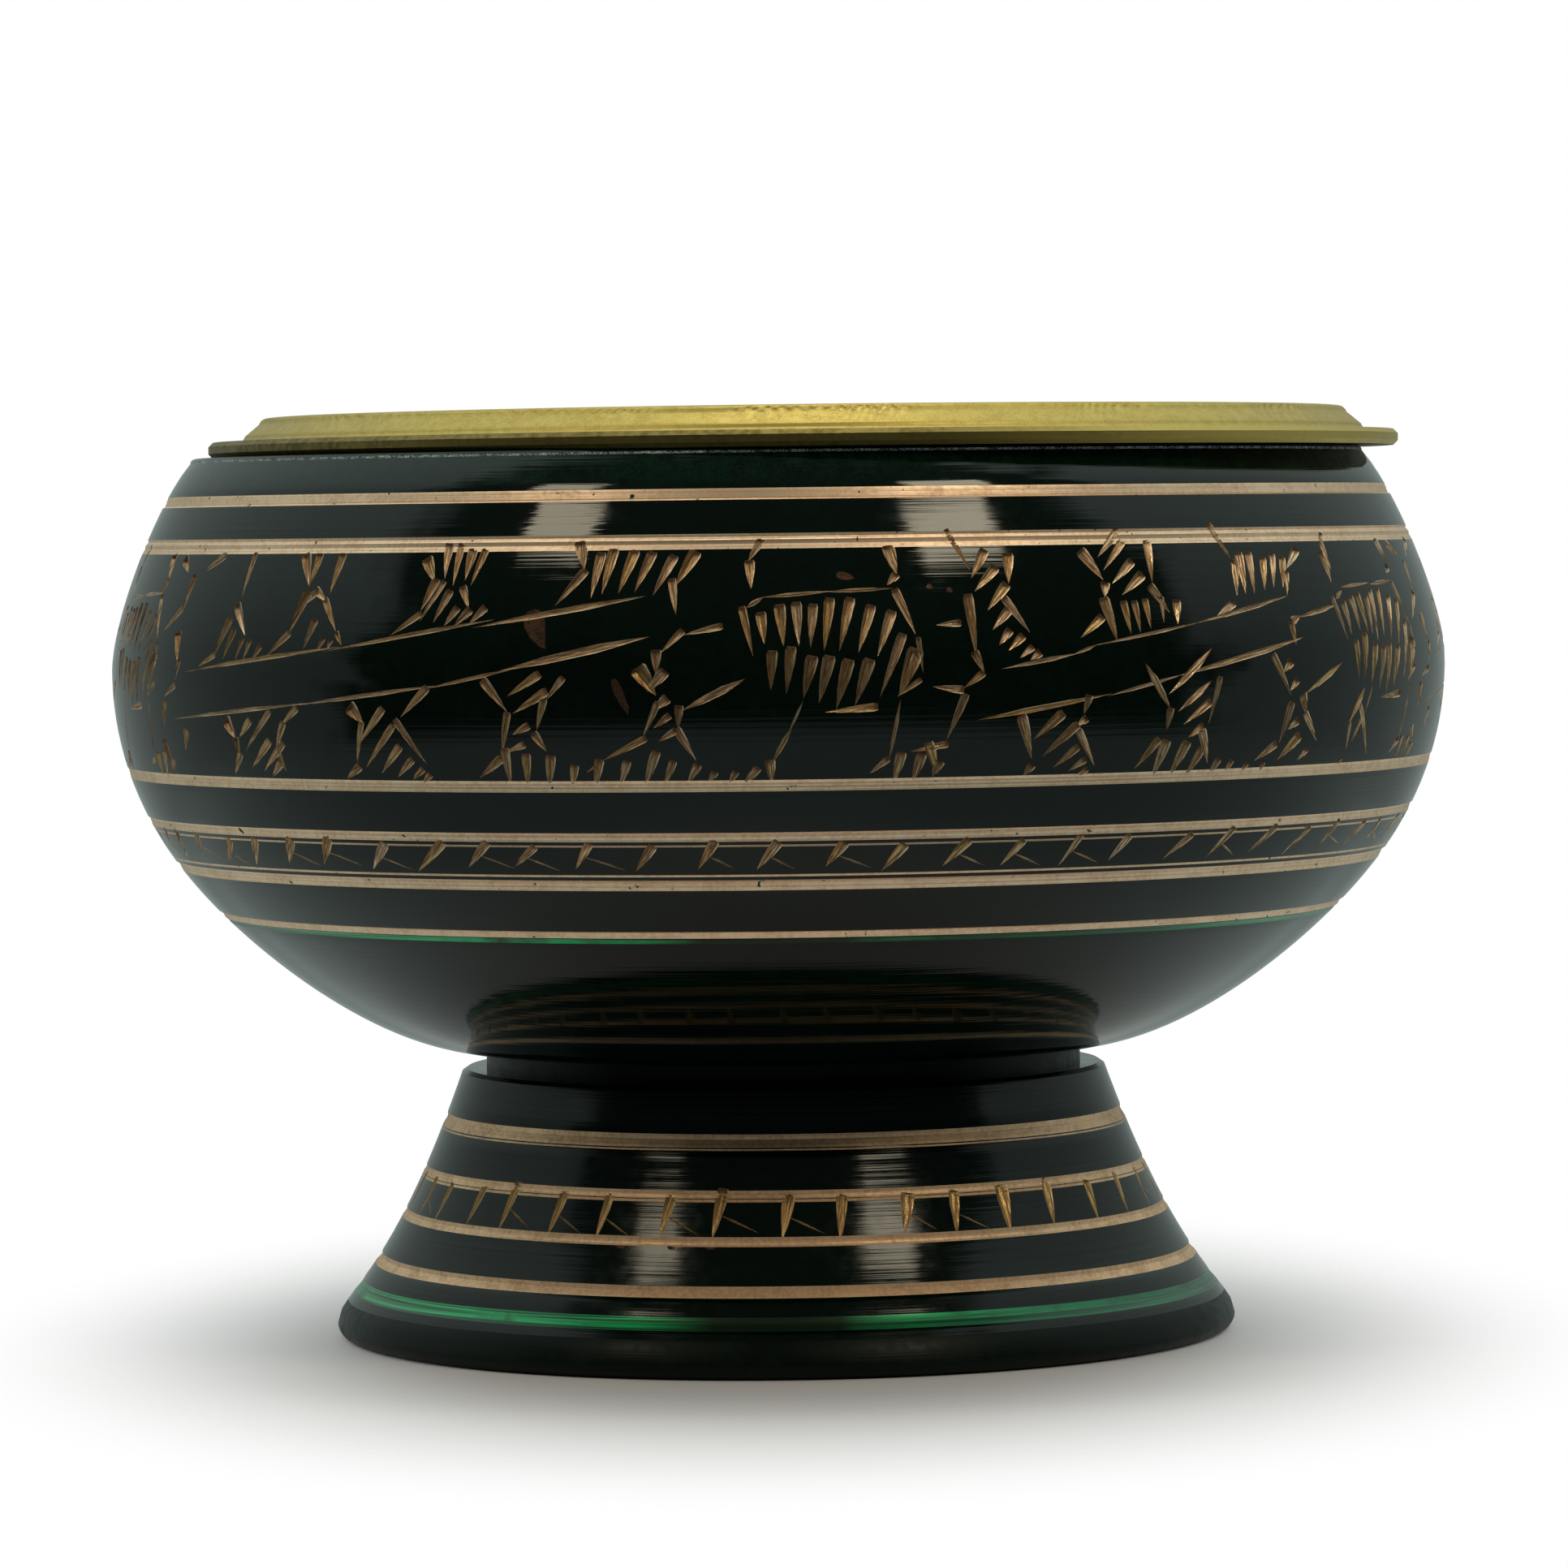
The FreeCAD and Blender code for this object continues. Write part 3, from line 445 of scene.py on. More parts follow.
def pave(low, high, columns, cuts, lines, gauge, spacing=0.95):
    """Triangles of an unrolled band between two lengths of a profile. Returns the flat corners and faces."""
    girth = 2 * math.pi * gauge
    seam = girth / 2
    corners, edges = [], []

    def chain(points, closed):
        first = len(corners)
        corners.extend(map(tuple, points))
        edges.extend((first + k, first + k + 1) for k in range(len(points) - 1))
        if closed:
            edges.append((first + len(points) - 1, first))

    across = np.linspace(-seam, seam, columns + 1)
    levels = np.array(sorted({low, high} | {s for line, _ in lines for s, _ in line if low < s < high}))
    for level in levels:
        chain(np.stack([across, np.full(columns + 1, level)], axis=1), False)
    rows = max(2, int((high - low) / spacing))
    grid_s = np.linspace(low, high, rows + 1)[1:-1]
    grid_s = grid_s[np.min(np.abs(grid_s[:, None] - levels), axis=1) > 0.2]
    sides = np.sort(np.r_[levels, grid_s])
    for end in (-seam, seam):
        chain(np.stack([np.full(len(sides), end), sides], axis=1), False)
    for k in range(len(cuts.long)):
        outline, middle = cuts.outline(k)
        chain(outline, True)
        chain(middle, False)
    stagger = np.where(np.arange(len(grid_s)) % 2, 0.5, 0.0)[:, None] * girth / columns
    grid = np.stack(np.broadcast_arrays(across[:-1] + stagger, grid_s[:, None]), axis=-1).reshape(-1, 2)
    grid = grid[np.abs(grid[:, 0]) < seam - 0.3]
    grid = grid[cuts.depth(grid)[0] <= 0]
    corners.extend(map(tuple, grid))
    flat, _, faces, _, _, _ = geometry.delaunay_2d_cdt([Vector(c) for c in corners], edges, [], 0, 1e-5)
    flat, faces = np.array([tuple(v) for v in flat], float), np.array(faces)
    # single-precision results are snapped back to the exact rows and columns, so neighbours weld
    for row in levels:
        on = np.abs(flat[:, 1] - row) < 1e-4
        column = np.round((flat[:, 0] + seam) / girth * columns)
        exact = -seam + column * girth / columns
        flat[on, 1] = row
        at = on & (np.abs(flat[:, 0] - exact) < 1e-3)
        flat[at, 0] = exact[at]
    for end in (-seam, seam):
        side = np.abs(flat[:, 0] - end) < 1e-3
        flat[side, 0] = end
        nearest = sides[np.argmin(np.abs(flat[side, 1][:, None] - sides), axis=1)]
        flat[side, 1] = nearest
    return flat, faces


print("the wall is divided into %d columns, %.2f mm wide at the belly" % (COLUMNS, TURN / COLUMNS))

# %% [markdown]
# A mesh is gathered stretch by stretch: corners, faces, a finish for each face and the shading direction at
# each face corner. Plain turned stretches shade smoothly, cut facets shade flat, and both know their exact
# direction from the formula, so no reflection shows the triangles. Points that fall together are welded.

# %% Gathering a mesh
WELD = 2e-5


class Gather:
    """Stretches of one piece, kept as whole arrays until they are welded into one mesh."""

    def __init__(self):
        self.points, self.faces, self.finish, self.tone, self.normals, self.maps = [], [], [], [], [], []
        self.count = 0

    def add(self, points, faces, finish, tone, corner_normals, corner_map):
        """Keep one stretch; its faces count their corners from its own first point."""
        self.points.append(points)
        self.faces.append(np.asarray(faces) + self.count)
        self.finish.append(np.broadcast_to(finish, len(faces)))
        self.tone.append(np.broadcast_to(tone, len(faces)))
        self.normals.append(corner_normals.reshape(-1, 3))
        self.maps.append(corner_map.reshape(-1, 2))
        self.count += len(points)

    def piece(self, name, materials):
        """Weld equal points and hand everything to Blender in whole arrays."""
        points = np.vstack(self.points)
        keys = np.round(points / WELD).astype(np.int64)
        _, first, index = np.unique(keys, axis=0, return_index=True, return_inverse=True)
        index = index.reshape(-1)
        loops = np.concatenate([f.reshape(-1) for f in self.faces])
        totals = np.concatenate([np.full(len(f), f.shape[1]) for f in self.faces])
        loops = index[loops]
        normals, maps = np.vstack(self.normals), np.vstack(self.maps)
        finish, tone = np.concatenate(self.finish), np.concatenate(self.tone)
        owner = np.repeat(np.arange(len(totals)), totals)
        starts = np.r_[0, np.cumsum(totals)[:-1]]
        following = np.r_[np.arange(1, len(loops)), 0]
        following[starts + totals - 1] = starts
        keep_loop = loops != loops[following]
        totals = np.bincount(owner[keep_loop], minlength=len(totals))
        keep_face = totals >= 3
        keep_loop &= keep_face[owner]
        totals = totals[keep_face]
        mesh = bpy.data.meshes.new(name)
        mesh.vertices.add(len(first))
        mesh.vertices.foreach_set("co", (points[first] * MM).astype(np.float32).ravel())
        mesh.loops.add(int(keep_loop.sum()))
        mesh.loops.foreach_set("vertex_index", loops[keep_loop].astype(np.int32))
        mesh.polygons.add(len(totals))
        mesh.polygons.foreach_set("loop_start", np.r_[0, np.cumsum(totals)[:-1]].astype(np.int32))
        mesh.polygons.foreach_set("material_index", finish[keep_face].astype(np.int32))
        mesh.update(calc_edges=True)
        mesh.polygons.foreach_set("use_smooth", np.ones(len(totals), bool))
        layer = mesh.uv_layers.new(name="wall")
        layer.uv.foreach_set("vector", maps[keep_loop].astype(np.float32).ravel())
        shade = mesh.attributes.new("mark_tone", "FLOAT", "FACE")
        shade.data.foreach_set("value", tone[keep_face].astype(np.float32))
        for material in materials:
            mesh.materials.append(material)
        mesh.normals_split_custom_set(normals[keep_loop].astype(np.float32))
        piece = bpy.data.objects.new(name, mesh)
        bpy.context.scene.collection.objects.link(piece)
        print("%s: %d faces, %d points" % (name, len(mesh.polygons), len(mesh.vertices)))
        return piece


print("points closer than %.5f mm are welded" % WELD)

# %% [markdown]
# A turned stretch is a line of radius and height swung round the axis. The lathe could leave it perfectly
# round, but a chattering tool ripples it, so the radius may also depend on the angle. An engraved band comes
# from the paved sheet instead: sunk by the depth of cut, then rolled up.

# %% Turned stretches and engraved bands
def rolled(radius, height, angle, centre=0.0):
    """A point of the turned wall: the radius swung by the angle from the front (-Y), to the right."""
    return np.stack([centre + radius * np.sin(angle), -radius * np.cos(angle),
                     np.broadcast_to(height, np.shape(angle))], axis=-1)


def unit(vectors):
    return vectors / np.maximum(np.linalg.norm(vectors, axis=-1, keepdims=True), 1e-12)


def turned_stretch(gather, line, finish, columns=COLUMNS, centre=0.0, ripple=None, sharp=25, ends=None):
    """Carry a (radius, height) line round the axis. A corner shades smoothly unless the line turns there
    by more than 'sharp' degrees. 'ripple' is added to the radius, a function of angle, radius and height.
    'ends' are two angles for each row, for a ring that isn't closed."""
    line = np.asarray(line, float)
    low, high = ends if ends else (np.full(len(line), -math.pi), np.full(len(line), math.pi))
    angle = low[:, None] + (high - low)[:, None] * np.linspace(0, 1, columns + 1)
    radius = np.repeat(line[:, :1], columns + 1, axis=1)
    height = np.repeat(line[:, 1:], columns + 1, axis=1)
    if ripple is not None:
        radius = radius + ripple(angle, radius, height)
    points = rolled(radius, height, angle, centre)
    way = np.diff(line, axis=0)
    own = unit(np.stack([way[:, 1], -way[:, 0]], axis=1))
    start, end = own.copy(), own.copy()
    soft = (own[1:] * own[:-1]).sum(axis=1) > math.cos(math.radians(sharp))
    mean = unit(own[1:] + own[:-1])
    start[1:][soft] = mean[soft]
    end[:-1][soft] = mean[soft]
    rows, wide = len(line) - 1, columns + 1
    first = (np.arange(rows)[:, None] * wide + np.arange(columns)).reshape(-1)
    faces = np.stack([first, first + 1, first + 1 + wide, first + wide], axis=1)

    def swung(n, a, at):
        """Normal n at angle a, tilted by the ripple's slopes: n - (dR/da)/r sideways - (dR/dh) up."""
        facing = rolled(n[:, :1], n[:, 1:], a)
        if ripple is None:
            return facing
        r, h, step = line[at, :1], line[at, 1:], 1e-3
        around = (ripple(a + step, r, h) - ripple(a - step, r, h)) / (2 * step * np.maximum(r, 1))
        up = (ripple(a, r, h + step) - ripple(a, r, h - step)) / (2 * step)
        sideways = np.stack([np.cos(a), np.sin(a), np.zeros_like(a)], axis=-1)
        return unit(facing - around[..., None] * sideways - up[..., None] * np.array([0, 0, 1.0]))

    lower, upper = angle[:-1], angle[1:]
    below, above = np.arange(rows), np.arange(rows) + 1
    normals = np.stack([swung(start, lower[:, :-1], below), swung(start, lower[:, 1:], below),
                        swung(end, upper[:, 1:], above), swung(end, upper[:, :-1], above)], axis=2)
    s = np.r_[0, np.cumsum(np.linalg.norm(way, axis=1))]
    wall = np.empty((rows, columns, 4, 2))
    for corner, (a, up) in enumerate([(lower[:, :-1], s[:-1]), (lower[:, 1:], s[:-1]),
                                      (upper[:, 1:], s[1:]), (upper[:, :-1], s[1:])]):
        wall[..., corner, 0] = a
        wall[..., corner, 1] = up[:, None]
    gather.add(points.reshape(-1, 3), faces, np.repeat(np.broadcast_to(finish, rows), columns), 0.5,
               normals, wall)


def wall_line(profile, low, high, lines, wall, spacing=0.7):
    """The profile between two lengths with the ring lines' corners in it, and the finish of each span."""
    s = np.linspace(low, high, max(2, int((high - low) / spacing) + 1))
    corners = np.array([x for line, _ in lines for x, _ in line])
    if len(corners):
        s = s[np.min(np.abs(s[:, None] - corners), axis=1) > 0.05]
    s = np.unique(np.r_[s, corners, low, high])
    s = s[(s >= low) & (s <= high)]
    r, z = profile.at(s, line_depth(lines, s))
    return np.stack([r, z], axis=1), line_finish(lines, (s[1:] + s[:-1]) / 2, wall)


def engraved_band(gather, profile, low, high, cuts, lines, gauge, wall):
    """Pave the unrolled band, sink it by the depth of cut and roll it up."""
    flat, faces = pave(low, high, COLUMNS, cuts, lines, gauge)
    depth = np.maximum(cuts.depth(flat)[0], line_depth(lines, flat[:, 1]))
    r, z = profile.at(flat[:, 1], depth)
    angle = flat[:, 0] / gauge
    points = rolled(r, z, angle)
    centre = flat[faces].mean(axis=1)
    cut, winner = cuts.depth(centre)
    line = line_depth(lines, centre[:, 1])
    is_mark = (cut > 1e-4) & (cut > line)
    is_line = (line > 1e-4) & ~is_mark
    n = profile.normal_at(flat[:, 1])
    corner = rolled(n[:, 0], n[:, 1], angle)[faces]
    upward = rolled(-n[:, 1], n[:, 0], angle)[faces]
    step = 0.004
    slope = (line_depth(lines, centre[:, 1] + step) - line_depth(lines, centre[:, 1] - step)) / (2 * step)
    corner[is_line] = unit(corner[is_line] + slope[is_line][:, None, None] * upward[is_line])
    three = points[faces]
    facet = unit(np.cross(three[:, 1] - three[:, 0], three[:, 2] - three[:, 0]))
    corner[is_mark] = facet[is_mark][:, None]
    finish = np.where(is_mark, cuts.finish[winner], line_finish(lines, centre[:, 1], wall))
    place = np.stack([angle, flat[:, 1]], axis=1)[faces]
    place[is_mark] = cuts.stroke(flat[faces[is_mark]], winner[is_mark])
    gather.add(points, faces, finish, np.where(is_mark, cuts.tone[winner], 0.5), corner, place)
    print("engraved band: %d faces, %d of them in %d marks" % (len(faces), is_mark.sum(), len(cuts.long)))


print("turned stretches and engraved bands share", COLUMNS, "columns")

# %% [markdown]
# ## Finishes
# Every finish is a small tree of nodes worked out from a point on the piece. The few steps that every tree
# repeats, such as a ramp between two values or a noise, are written once here, so a finish reads as a recipe.

# %% Node tools
def node(tree, kind, inputs=None, **settings):
    """Add a node, set its fields, then fill or link its inputs."""
    made = tree.nodes.new(kind)
    for key, value in settings.items():
        setattr(made, key, value)
    for key, value in (inputs or {}).items():
        if isinstance(value, bpy.types.NodeSocket):
            tree.links.new(value, made.inputs[key])
        else:
            made.inputs[key].default_value = value
    return made


def maths(tree, operation, a, b):
    return node(tree, "ShaderNodeMath", {0: a, 1: b}, operation=operation).outputs[0]


def times(tree, a, b):
    return maths(tree, "MULTIPLY", a, b)


def spread(tree, value, low, high, start=0.0, end=1.0, **settings):
    """'start' where the value is at 'low', 'end' where it is at 'high', and no further."""
    return node(tree, "ShaderNodeMapRange", {"Value": value, "From Min": low, "From Max": high,
                                             "To Min": start, "To Max": end}, **settings).outputs[0]


def noise(tree, spot, scale, detail, roughness=0.5):
    return node(tree, "ShaderNodeTexNoise", {"Vector": spot, "Scale": scale, "Detail": detail,
                                             "Roughness": roughness}).outputs["Fac"]


def own_place(tree):
    """The point on the piece itself, in metres."""
    return node(tree, "ShaderNodeTexCoord").outputs["Object"]


def parts_of(tree, vector):
    """The x, y and z of a vector."""
    return node(tree, "ShaderNodeSeparateXYZ", {0: vector}).outputs


def joined(tree, x, y, z):
    return node(tree, "ShaderNodeCombineXYZ", {0: x, 1: y, 2: z}).outputs[0]


print("node tools work in metres: 1 mm is", MM)

# %% [markdown]
# Nearly every finish on this object shares two effects: the fine circles a lathe tool leaves, and uneven
# ageing. Each effect is a node group with its own inputs, built once. The alternatives were copies of the
# same nodes in every material, or a baked texture, which would blur at close range.

# %% Shared effects
def new_group(name, output, inputs):
    """A group that takes numbers and gives one number."""
    group = bpy.data.node_groups.new(name, "ShaderNodeTree")
    for label, value in inputs.items():
        socket = group.interface.new_socket(label, in_out="INPUT", socket_type="NodeSocketFloat")
        socket.default_value = value
    group.interface.new_socket(output, in_out="OUTPUT", socket_type="NodeSocketFloat")
    return group, group.nodes.new("NodeGroupInput").outputs, group.nodes.new("NodeGroupOutput").inputs[0]


def lathe_marks_group():
    """Rings of fine tool marks: noise squeezed flat along the height, so it hardly changes going round."""
    group, given, sink = new_group("lathe marks", "Height", {"Rings per mm": 6.0, "Waver": 0.5})
    x, y, z = parts_of(group, own_place(group))
    tall = times(group, given["Rings per mm"], 1 / MM)
    wide = times(group, given["Waver"], 0.05 / MM)
    spot = joined(group, times(group, x, wide), times(group, y, wide), times(group, z, tall))
    group.links.new(noise(group, spot, 1.0, 3.0, 0.6), sink)
    return group


def ageing_group():
    """Blotches of tarnish and dust at two sizes, mixed into one mask from 0 (clean) to 1 (aged)."""
    group, given, sink = new_group("ageing", "Mask", {"Blotch per mm": 0.4, "Amount": 0.5})
    place = own_place(group)
    large = times(group, given["Blotch per mm"], 1 / MM)
    coarse = noise(group, place, large, 5.0, 0.65)
    fine = noise(group, place, times(group, large, 7.0), 3.0)
    mask = spread(group, times(group, coarse, fine), 0.18, 0.36)
    group.links.new(times(group, mask, given["Amount"]), sink)
    return group


LATHE = lathe_marks_group()
AGEING = ageing_group()
print("shared effects:", LATHE.name, "and", AGEING.name)


def new_material(name, **constants):
    """A material with one Principled shader; values that never change sit on the shader's own sockets."""
    material = bpy.data.materials.new(name)
    material.use_nodes = True
    tree = material.node_tree
    shader = tree.nodes["Principled BSDF"]
    for key, value in constants.items():
        shader.inputs[key.replace("_", " ")].default_value = value
    return material, tree, shader


def lathe(tree, rings, waver):
    return node(tree, "ShaderNodeGroup", {"Rings per mm": rings, "Waver": waver}, node_tree=LATHE).outputs[0]


def ageing(tree, blotch, amount):
    return node(tree, "ShaderNodeGroup", {"Blotch per mm": blotch, "Amount": amount},
                node_tree=AGEING).outputs[0]


def blend_colour(tree, mask, low, high):
    """The first colour where the mask is 0, the second where it is 1."""
    low, high = [v if isinstance(v, bpy.types.NodeSocket) else (*v, 1) for v in (low, high)]
    return node(tree, "ShaderNodeMix", {0: mask, 6: low, 7: high}, data_type="RGBA").outputs[2]


def finished(tree, shader, colour, rough=None, height=None, depth=0.0):
    """Link the shader's colour, its roughness (a mask and the two values it runs between) and its bump (a
    height and its depth in millimetres)."""
    tree.links.new(colour, shader.inputs["Base Color"])
    if rough is not None:
        mask, smooth, dull = rough
        tree.links.new(spread(tree, mask, 0, 1, smooth, dull), shader.inputs["Roughness"])
    if height is not None:
        bump = node(tree, "ShaderNodeBump", {"Height": height, "Distance": depth * MM})
        tree.links.new(bump.outputs[0], shader.inputs["Normal"])


# %% [markdown]
# Lacquer is dipped, so it is one thick black-green coat, but not everywhere alike: it ran thin and greener
# near the rim, shrank into crinkles on the rim's edge, whose glints are painted milky white, and lies as a
# film in two grooves, where the brass lights it up. The foot's coat is duller, and scuffed where it is
# handled. One plain black would be quicker, but these changes tell the eye that this is a coat on metal.

# %% Lacquer, thick, crinkled and thin
def across_x(tree, low, high):
    """0 at one distance to the right of the axis, 1 at the other, in millimetres."""
    return spread(tree, parts_of(tree, own_place(tree))[0], low * MM, high * MM)


def lacquer(name, smooth, dull, ring_depth, shine):
    """Nearly black and glossy, faint tool rings under it, greener in specks near the rim where it ran off."""
    material, tree, shader = new_material(name, Metallic=0.0, IOR=1.48, Specular_IOR_Level=shine)
    aged = ageing(tree, 0.22, 0.8)
    near_rim = spread(tree, parts_of(tree, own_place(tree))[2], 47.9 * MM, 49.0 * MM)
    thin = times(tree, near_rim, ageing(tree, 1.2, 1.0))
    coat = blend_colour(tree, aged, (0.0007, 0.0042, 0.0020), (0.0012, 0.0080, 0.0040))
    colour = blend_colour(tree, thin, coat, (0.0015, 0.024, 0.010))
    finished(tree, shader, colour, (aged, smooth, dull), lathe(tree, 5.0, 0.35), ring_depth)
    return material


def rim_lacquer():
    """On the broken edge of the rim the lacquer shrank into fine crinkles; their glints are painted on as
    milky white flecks.
    """
    material, tree, shader = new_material("crinkled rim lacquer with painted glints", Metallic=0.0, IOR=1.48, Roughness=0.15)
    crinkles_and_glints = ageing(tree, 1.6, 1.0)
    # painted highlight: milky white flecks stand in for glints on the crinkles
    colour = blend_colour(tree, crinkles_and_glints, (0.03, 0.05, 0.05), (0.88, 0.95, 0.97))
    finished(tree, shader, colour, height=crinkles_and_glints, depth=0.09)
    return material


def thin_lacquer():
    """Where a groove holds only a film, the brass below lights it up bright green, in long patches. It is
    darker in a strip either side of the middle, left to right, and half as bright to the right."""
    material, tree, shader = new_material("thin green lacquer", Metallic=0.6, Coat_Weight=0.35,
                                          Coat_Roughness=0.12)
    streaks = lathe(tree, 6.0, 0.8)
    thick = maths(tree, "MAXIMUM", ageing(tree, 0.05, 1.0), spread(tree, streaks, 0.35, 0.6))
    front = maths(tree, "MINIMUM", across_x(tree, -8, -4), across_x(tree, 6, 3))
    bright = blend_colour(tree, across_x(tree, 2, 6), (0.015, 0.72, 0.22), (0.01, 0.34, 0.12))
    glow = blend_colour(tree, thick, bright, (0.004, 0.08, 0.03))
    colour = blend_colour(tree, front, glow, (0.006, 0.025, 0.009))
    finished(tree, shader, colour, (streaks, 0.25, 0.5))
    return material


LACQUER = lacquer("black-green lacquer", 0.045, 0.09, 0.0085, 0.35)
FOOT_LACQUER = lacquer("duller foot lacquer", 0.09, 0.17, 0.013, 0.24)
SCUFFED_LACQUER = lacquer("scuffed lacquer", 0.34, 0.48, 0.012, 0.14)
RIM_LACQUER = rim_lacquer()
THIN = thin_lacquer()
print("lacquers:", ", ".join(m.name for m in (LACQUER, FOOT_LACQUER, SCUFFED_LACQUER, RIM_LACQUER, THIN)))

# %% [markdown]
# Brass shows in many states: cut by the burin, turned on the lathe, drawn into wire, stained inside the bowl.
# On the flange's edge it is painted dark as shade, with a painted highlight to the right. A turned surface
# needs only other colours, ring spacing and roughness, so one function makes them all. A burin mark is
# different: its pattern follows its own stroke, which the map of the wall carries inside each mark.

# %% Brass, cut, chipped and turned
def burin_brass(name, fresh, golden, old, amount):
    """Each push of the burin has its own tone. Bright hairs run along the push, with grime between them.
    'old' colours both that grime and the shade painted on the steep side and where the tool went in; a
    highlight is painted on the lip of the broad side."""
    material, tree, shader = new_material(name, Metallic=1.0)
    tone = node(tree, "ShaderNodeAttribute", attribute_name="mark_tone",
                attribute_type="GEOMETRY").outputs["Fac"]
    stroke = node(tree, "ShaderNodeUVMap", uv_map="wall").outputs[0]
    along, across, _ = parts_of(tree, stroke)
    spot = joined(tree, times(tree, along, 0.7), times(tree, across, 3.2), times(tree, tone, 40.0))
    hairs = noise(tree, spot, 1.0, 4.0, 0.7)
    between = times(tree, spread(tree, hairs, 0.64, 0.44), amount)
    # painted shadow at the head, where the tool went in, and painted shade on the narrow steep side
    painted_entry_shadow = spread(tree, along, 0.50, 0.12)
    painted_steep_shade = spread(tree, across, -0.2, -0.4, 0.0, 0.6)
    grime_and_painted_shade = maths(tree, "MAXIMUM", maths(tree, "MAXIMUM", between, painted_entry_shadow), painted_steep_shade)
    metal = blend_colour(tree, grime_and_painted_shade, blend_colour(tree, tone, fresh, golden), old)
    # painted highlight: the lip of the broad side is painted in the fresh colour
    colour = blend_colour(tree, spread(tree, across, 0.66, 0.80), metal, fresh)
    finished(tree, shader, colour, (grime_and_painted_shade, 0.24, 0.48), hairs, 0.05)
    return material


def bare_patch():
    """A chip in the lacquer shows dull brown metal."""
    material, tree, shader = new_material("chipped to brown metal", Metallic=0.6)
    aged = ageing(tree, 0.9, 1.0)
    colour = blend_colour(tree, aged, (0.10, 0.040, 0.018), (0.02, 0.012, 0.008))
    finished(tree, shader, colour, (aged, 0.4, 0.7))
    return material


def turned_brass(name, clean, stained, rings, depth, rough, blotch=0.35, amount=0.6, paint=False,
                 painted_highlight_right=False):
    """Brass off the lathe: fine rings, a little tarnish. 'paint' leaves green specks of lacquer on it,
    'painted_highlight_right' paints a brighter highlight to the right of the axis."""
    material, tree, shader = new_material(name, Metallic=1.0)
    aged = ageing(tree, blotch, amount)
    colour = blend_colour(tree, aged, clean, stained)
    if painted_highlight_right:
        # painted highlight: brighter brass to the right of the axis
        colour = blend_colour(tree, across_x(tree, 9, 20), colour, (0.58, 0.43, 0.12))
    if paint:
        specks = spread(tree, noise(tree, own_place(tree), 2.2 / MM, 2.0), 0.70, 0.74)
        colour = blend_colour(tree, specks, colour, (0.01, 0.06, 0.03))
    finished(tree, shader, colour, (aged, rough, rough + 0.15), lathe(tree, rings, 0.3), depth)
    return material


CUT = burin_brass("burin-cut brass", (0.98, 0.69, 0.46), (0.90, 0.57, 0.24), (0.20, 0.105, 0.052), 0.95)
BROWN_CUT = burin_brass("browned burin marks", (0.62, 0.41, 0.19), (0.50, 0.32, 0.11), (0.20, 0.11, 0.05),
                        0.9)
CHIP_METAL = bare_patch()
LINE = turned_brass("turned ring line", (0.98, 0.70, 0.49), (0.74, 0.47, 0.29), 9.0, 0.02, 0.42, 0.6,
                    paint=True)
FOOT_LINE = turned_brass("tanned ring line", (0.94, 0.64, 0.41), (0.60, 0.38, 0.22), 9.0, 0.02, 0.52, 0.6)
YELLOW = turned_brass("yellow turned brass", (0.61, 0.445, 0.125), (0.42, 0.29, 0.075), 5.0, 0.025, 0.40,
                      1.4, 0.55)
# The flange's edge: painted dark as shade, with a painted highlight to the right.
FLANGE_EDGE_SHADE_AND_HIGHLIGHT = turned_brass("flange edge brass, painted shade and highlight", (0.26, 0.19, 0.06), (0.10, 0.07, 0.02), 4.0, 0.02, 0.42,
                      painted_highlight_right=True)
# The skirt and the flange's underside: painted dark as shade.
UNDERSIDE_SHADE = turned_brass("brass underside, painted shade", (0.12, 0.085, 0.030), (0.05, 0.035, 0.012), 4.0, 0.02, 0.45)
INSIDE = turned_brass("brown inside brass", (0.34, 0.24, 0.12), (0.10, 0.07, 0.04), 3.0, 0.03, 0.45)
WIRE_FINISH = turned_brass("drawn wire", (0.55, 0.42, 0.20), (0.25, 0.17, 0.08), 2.0, 0.01, 0.35)
PLAIN = turned_brass("plain brass", (0.55, 0.42, 0.20), (0.30, 0.21, 0.10), 4.0, 0.02, 0.35)
BOWL_FINISHES = [LACQUER, LINE, CUT, THIN, INSIDE, RIM_LACQUER, FOOT_LACQUER, BROWN_CUT, CHIP_METAL,
                 SCUFFED_LACQUER, FOOT_LINE]
WALL, LINED, MARKED, FILMED, BARED, CRINKLED, DULLED, BROWNED, CHIPPED, SCUFFED, TANNED = range(
    len(BOWL_FINISHES))
print("%d finishes in all, %d of them on the bowl and the foot" % (
    len(bpy.data.materials), len(BOWL_FINISHES)))

# %% [markdown]
# ## The bowl
# One closed surface, walked from the roof of the screw hole over the spigot, the neck, the outside wall,
# the rim and the inside wall to the middle of the floor. The two bands with marks are paved, everything
# else is plain turned wall; both use the same columns, so the bands weld without a gap.

# %% Bowl shell
# How steeply each kind of cut goes down from its edge.
DEEP, SHALLOW, FLAT = 0.50, 0.30, 0.04
# Each ring line: lower edge, upper edge, finish, depth, tool steps, where it is deepest. Lines on the
# shoulder are deepest near the lower edge, lines under the belly near the upper one: the tool came in level.
BOWL_LINES = [(24.28, 24.65, LINED, .10, 1, .66), (23.98, 24.24, FILMED, .03, 0, .66),
              (26.93, 27.50, LINED, .10, 2, .70), (27.68, 27.80, LINED, .03, 0, .66),
              (29.30, 29.40, LINED, .03, 0, .66), (29.58, 30.06, LINED, .08, 1, .70),
              (32.24, 32.84, LINED, .05, 2, .75), (44.89, 45.36, LINED, .05, 1, .60),
              (45.37, 45.69, LINED, .08, 1, .66), (47.47, 48.07, LINED, .10, 2, .20)]


def lines_between(profile, table, low, high):
    """Ring lines whose heights lie between two heights."""
    return [ring_line(profile, *line) for line in table if line[0] > low and line[1] < high]


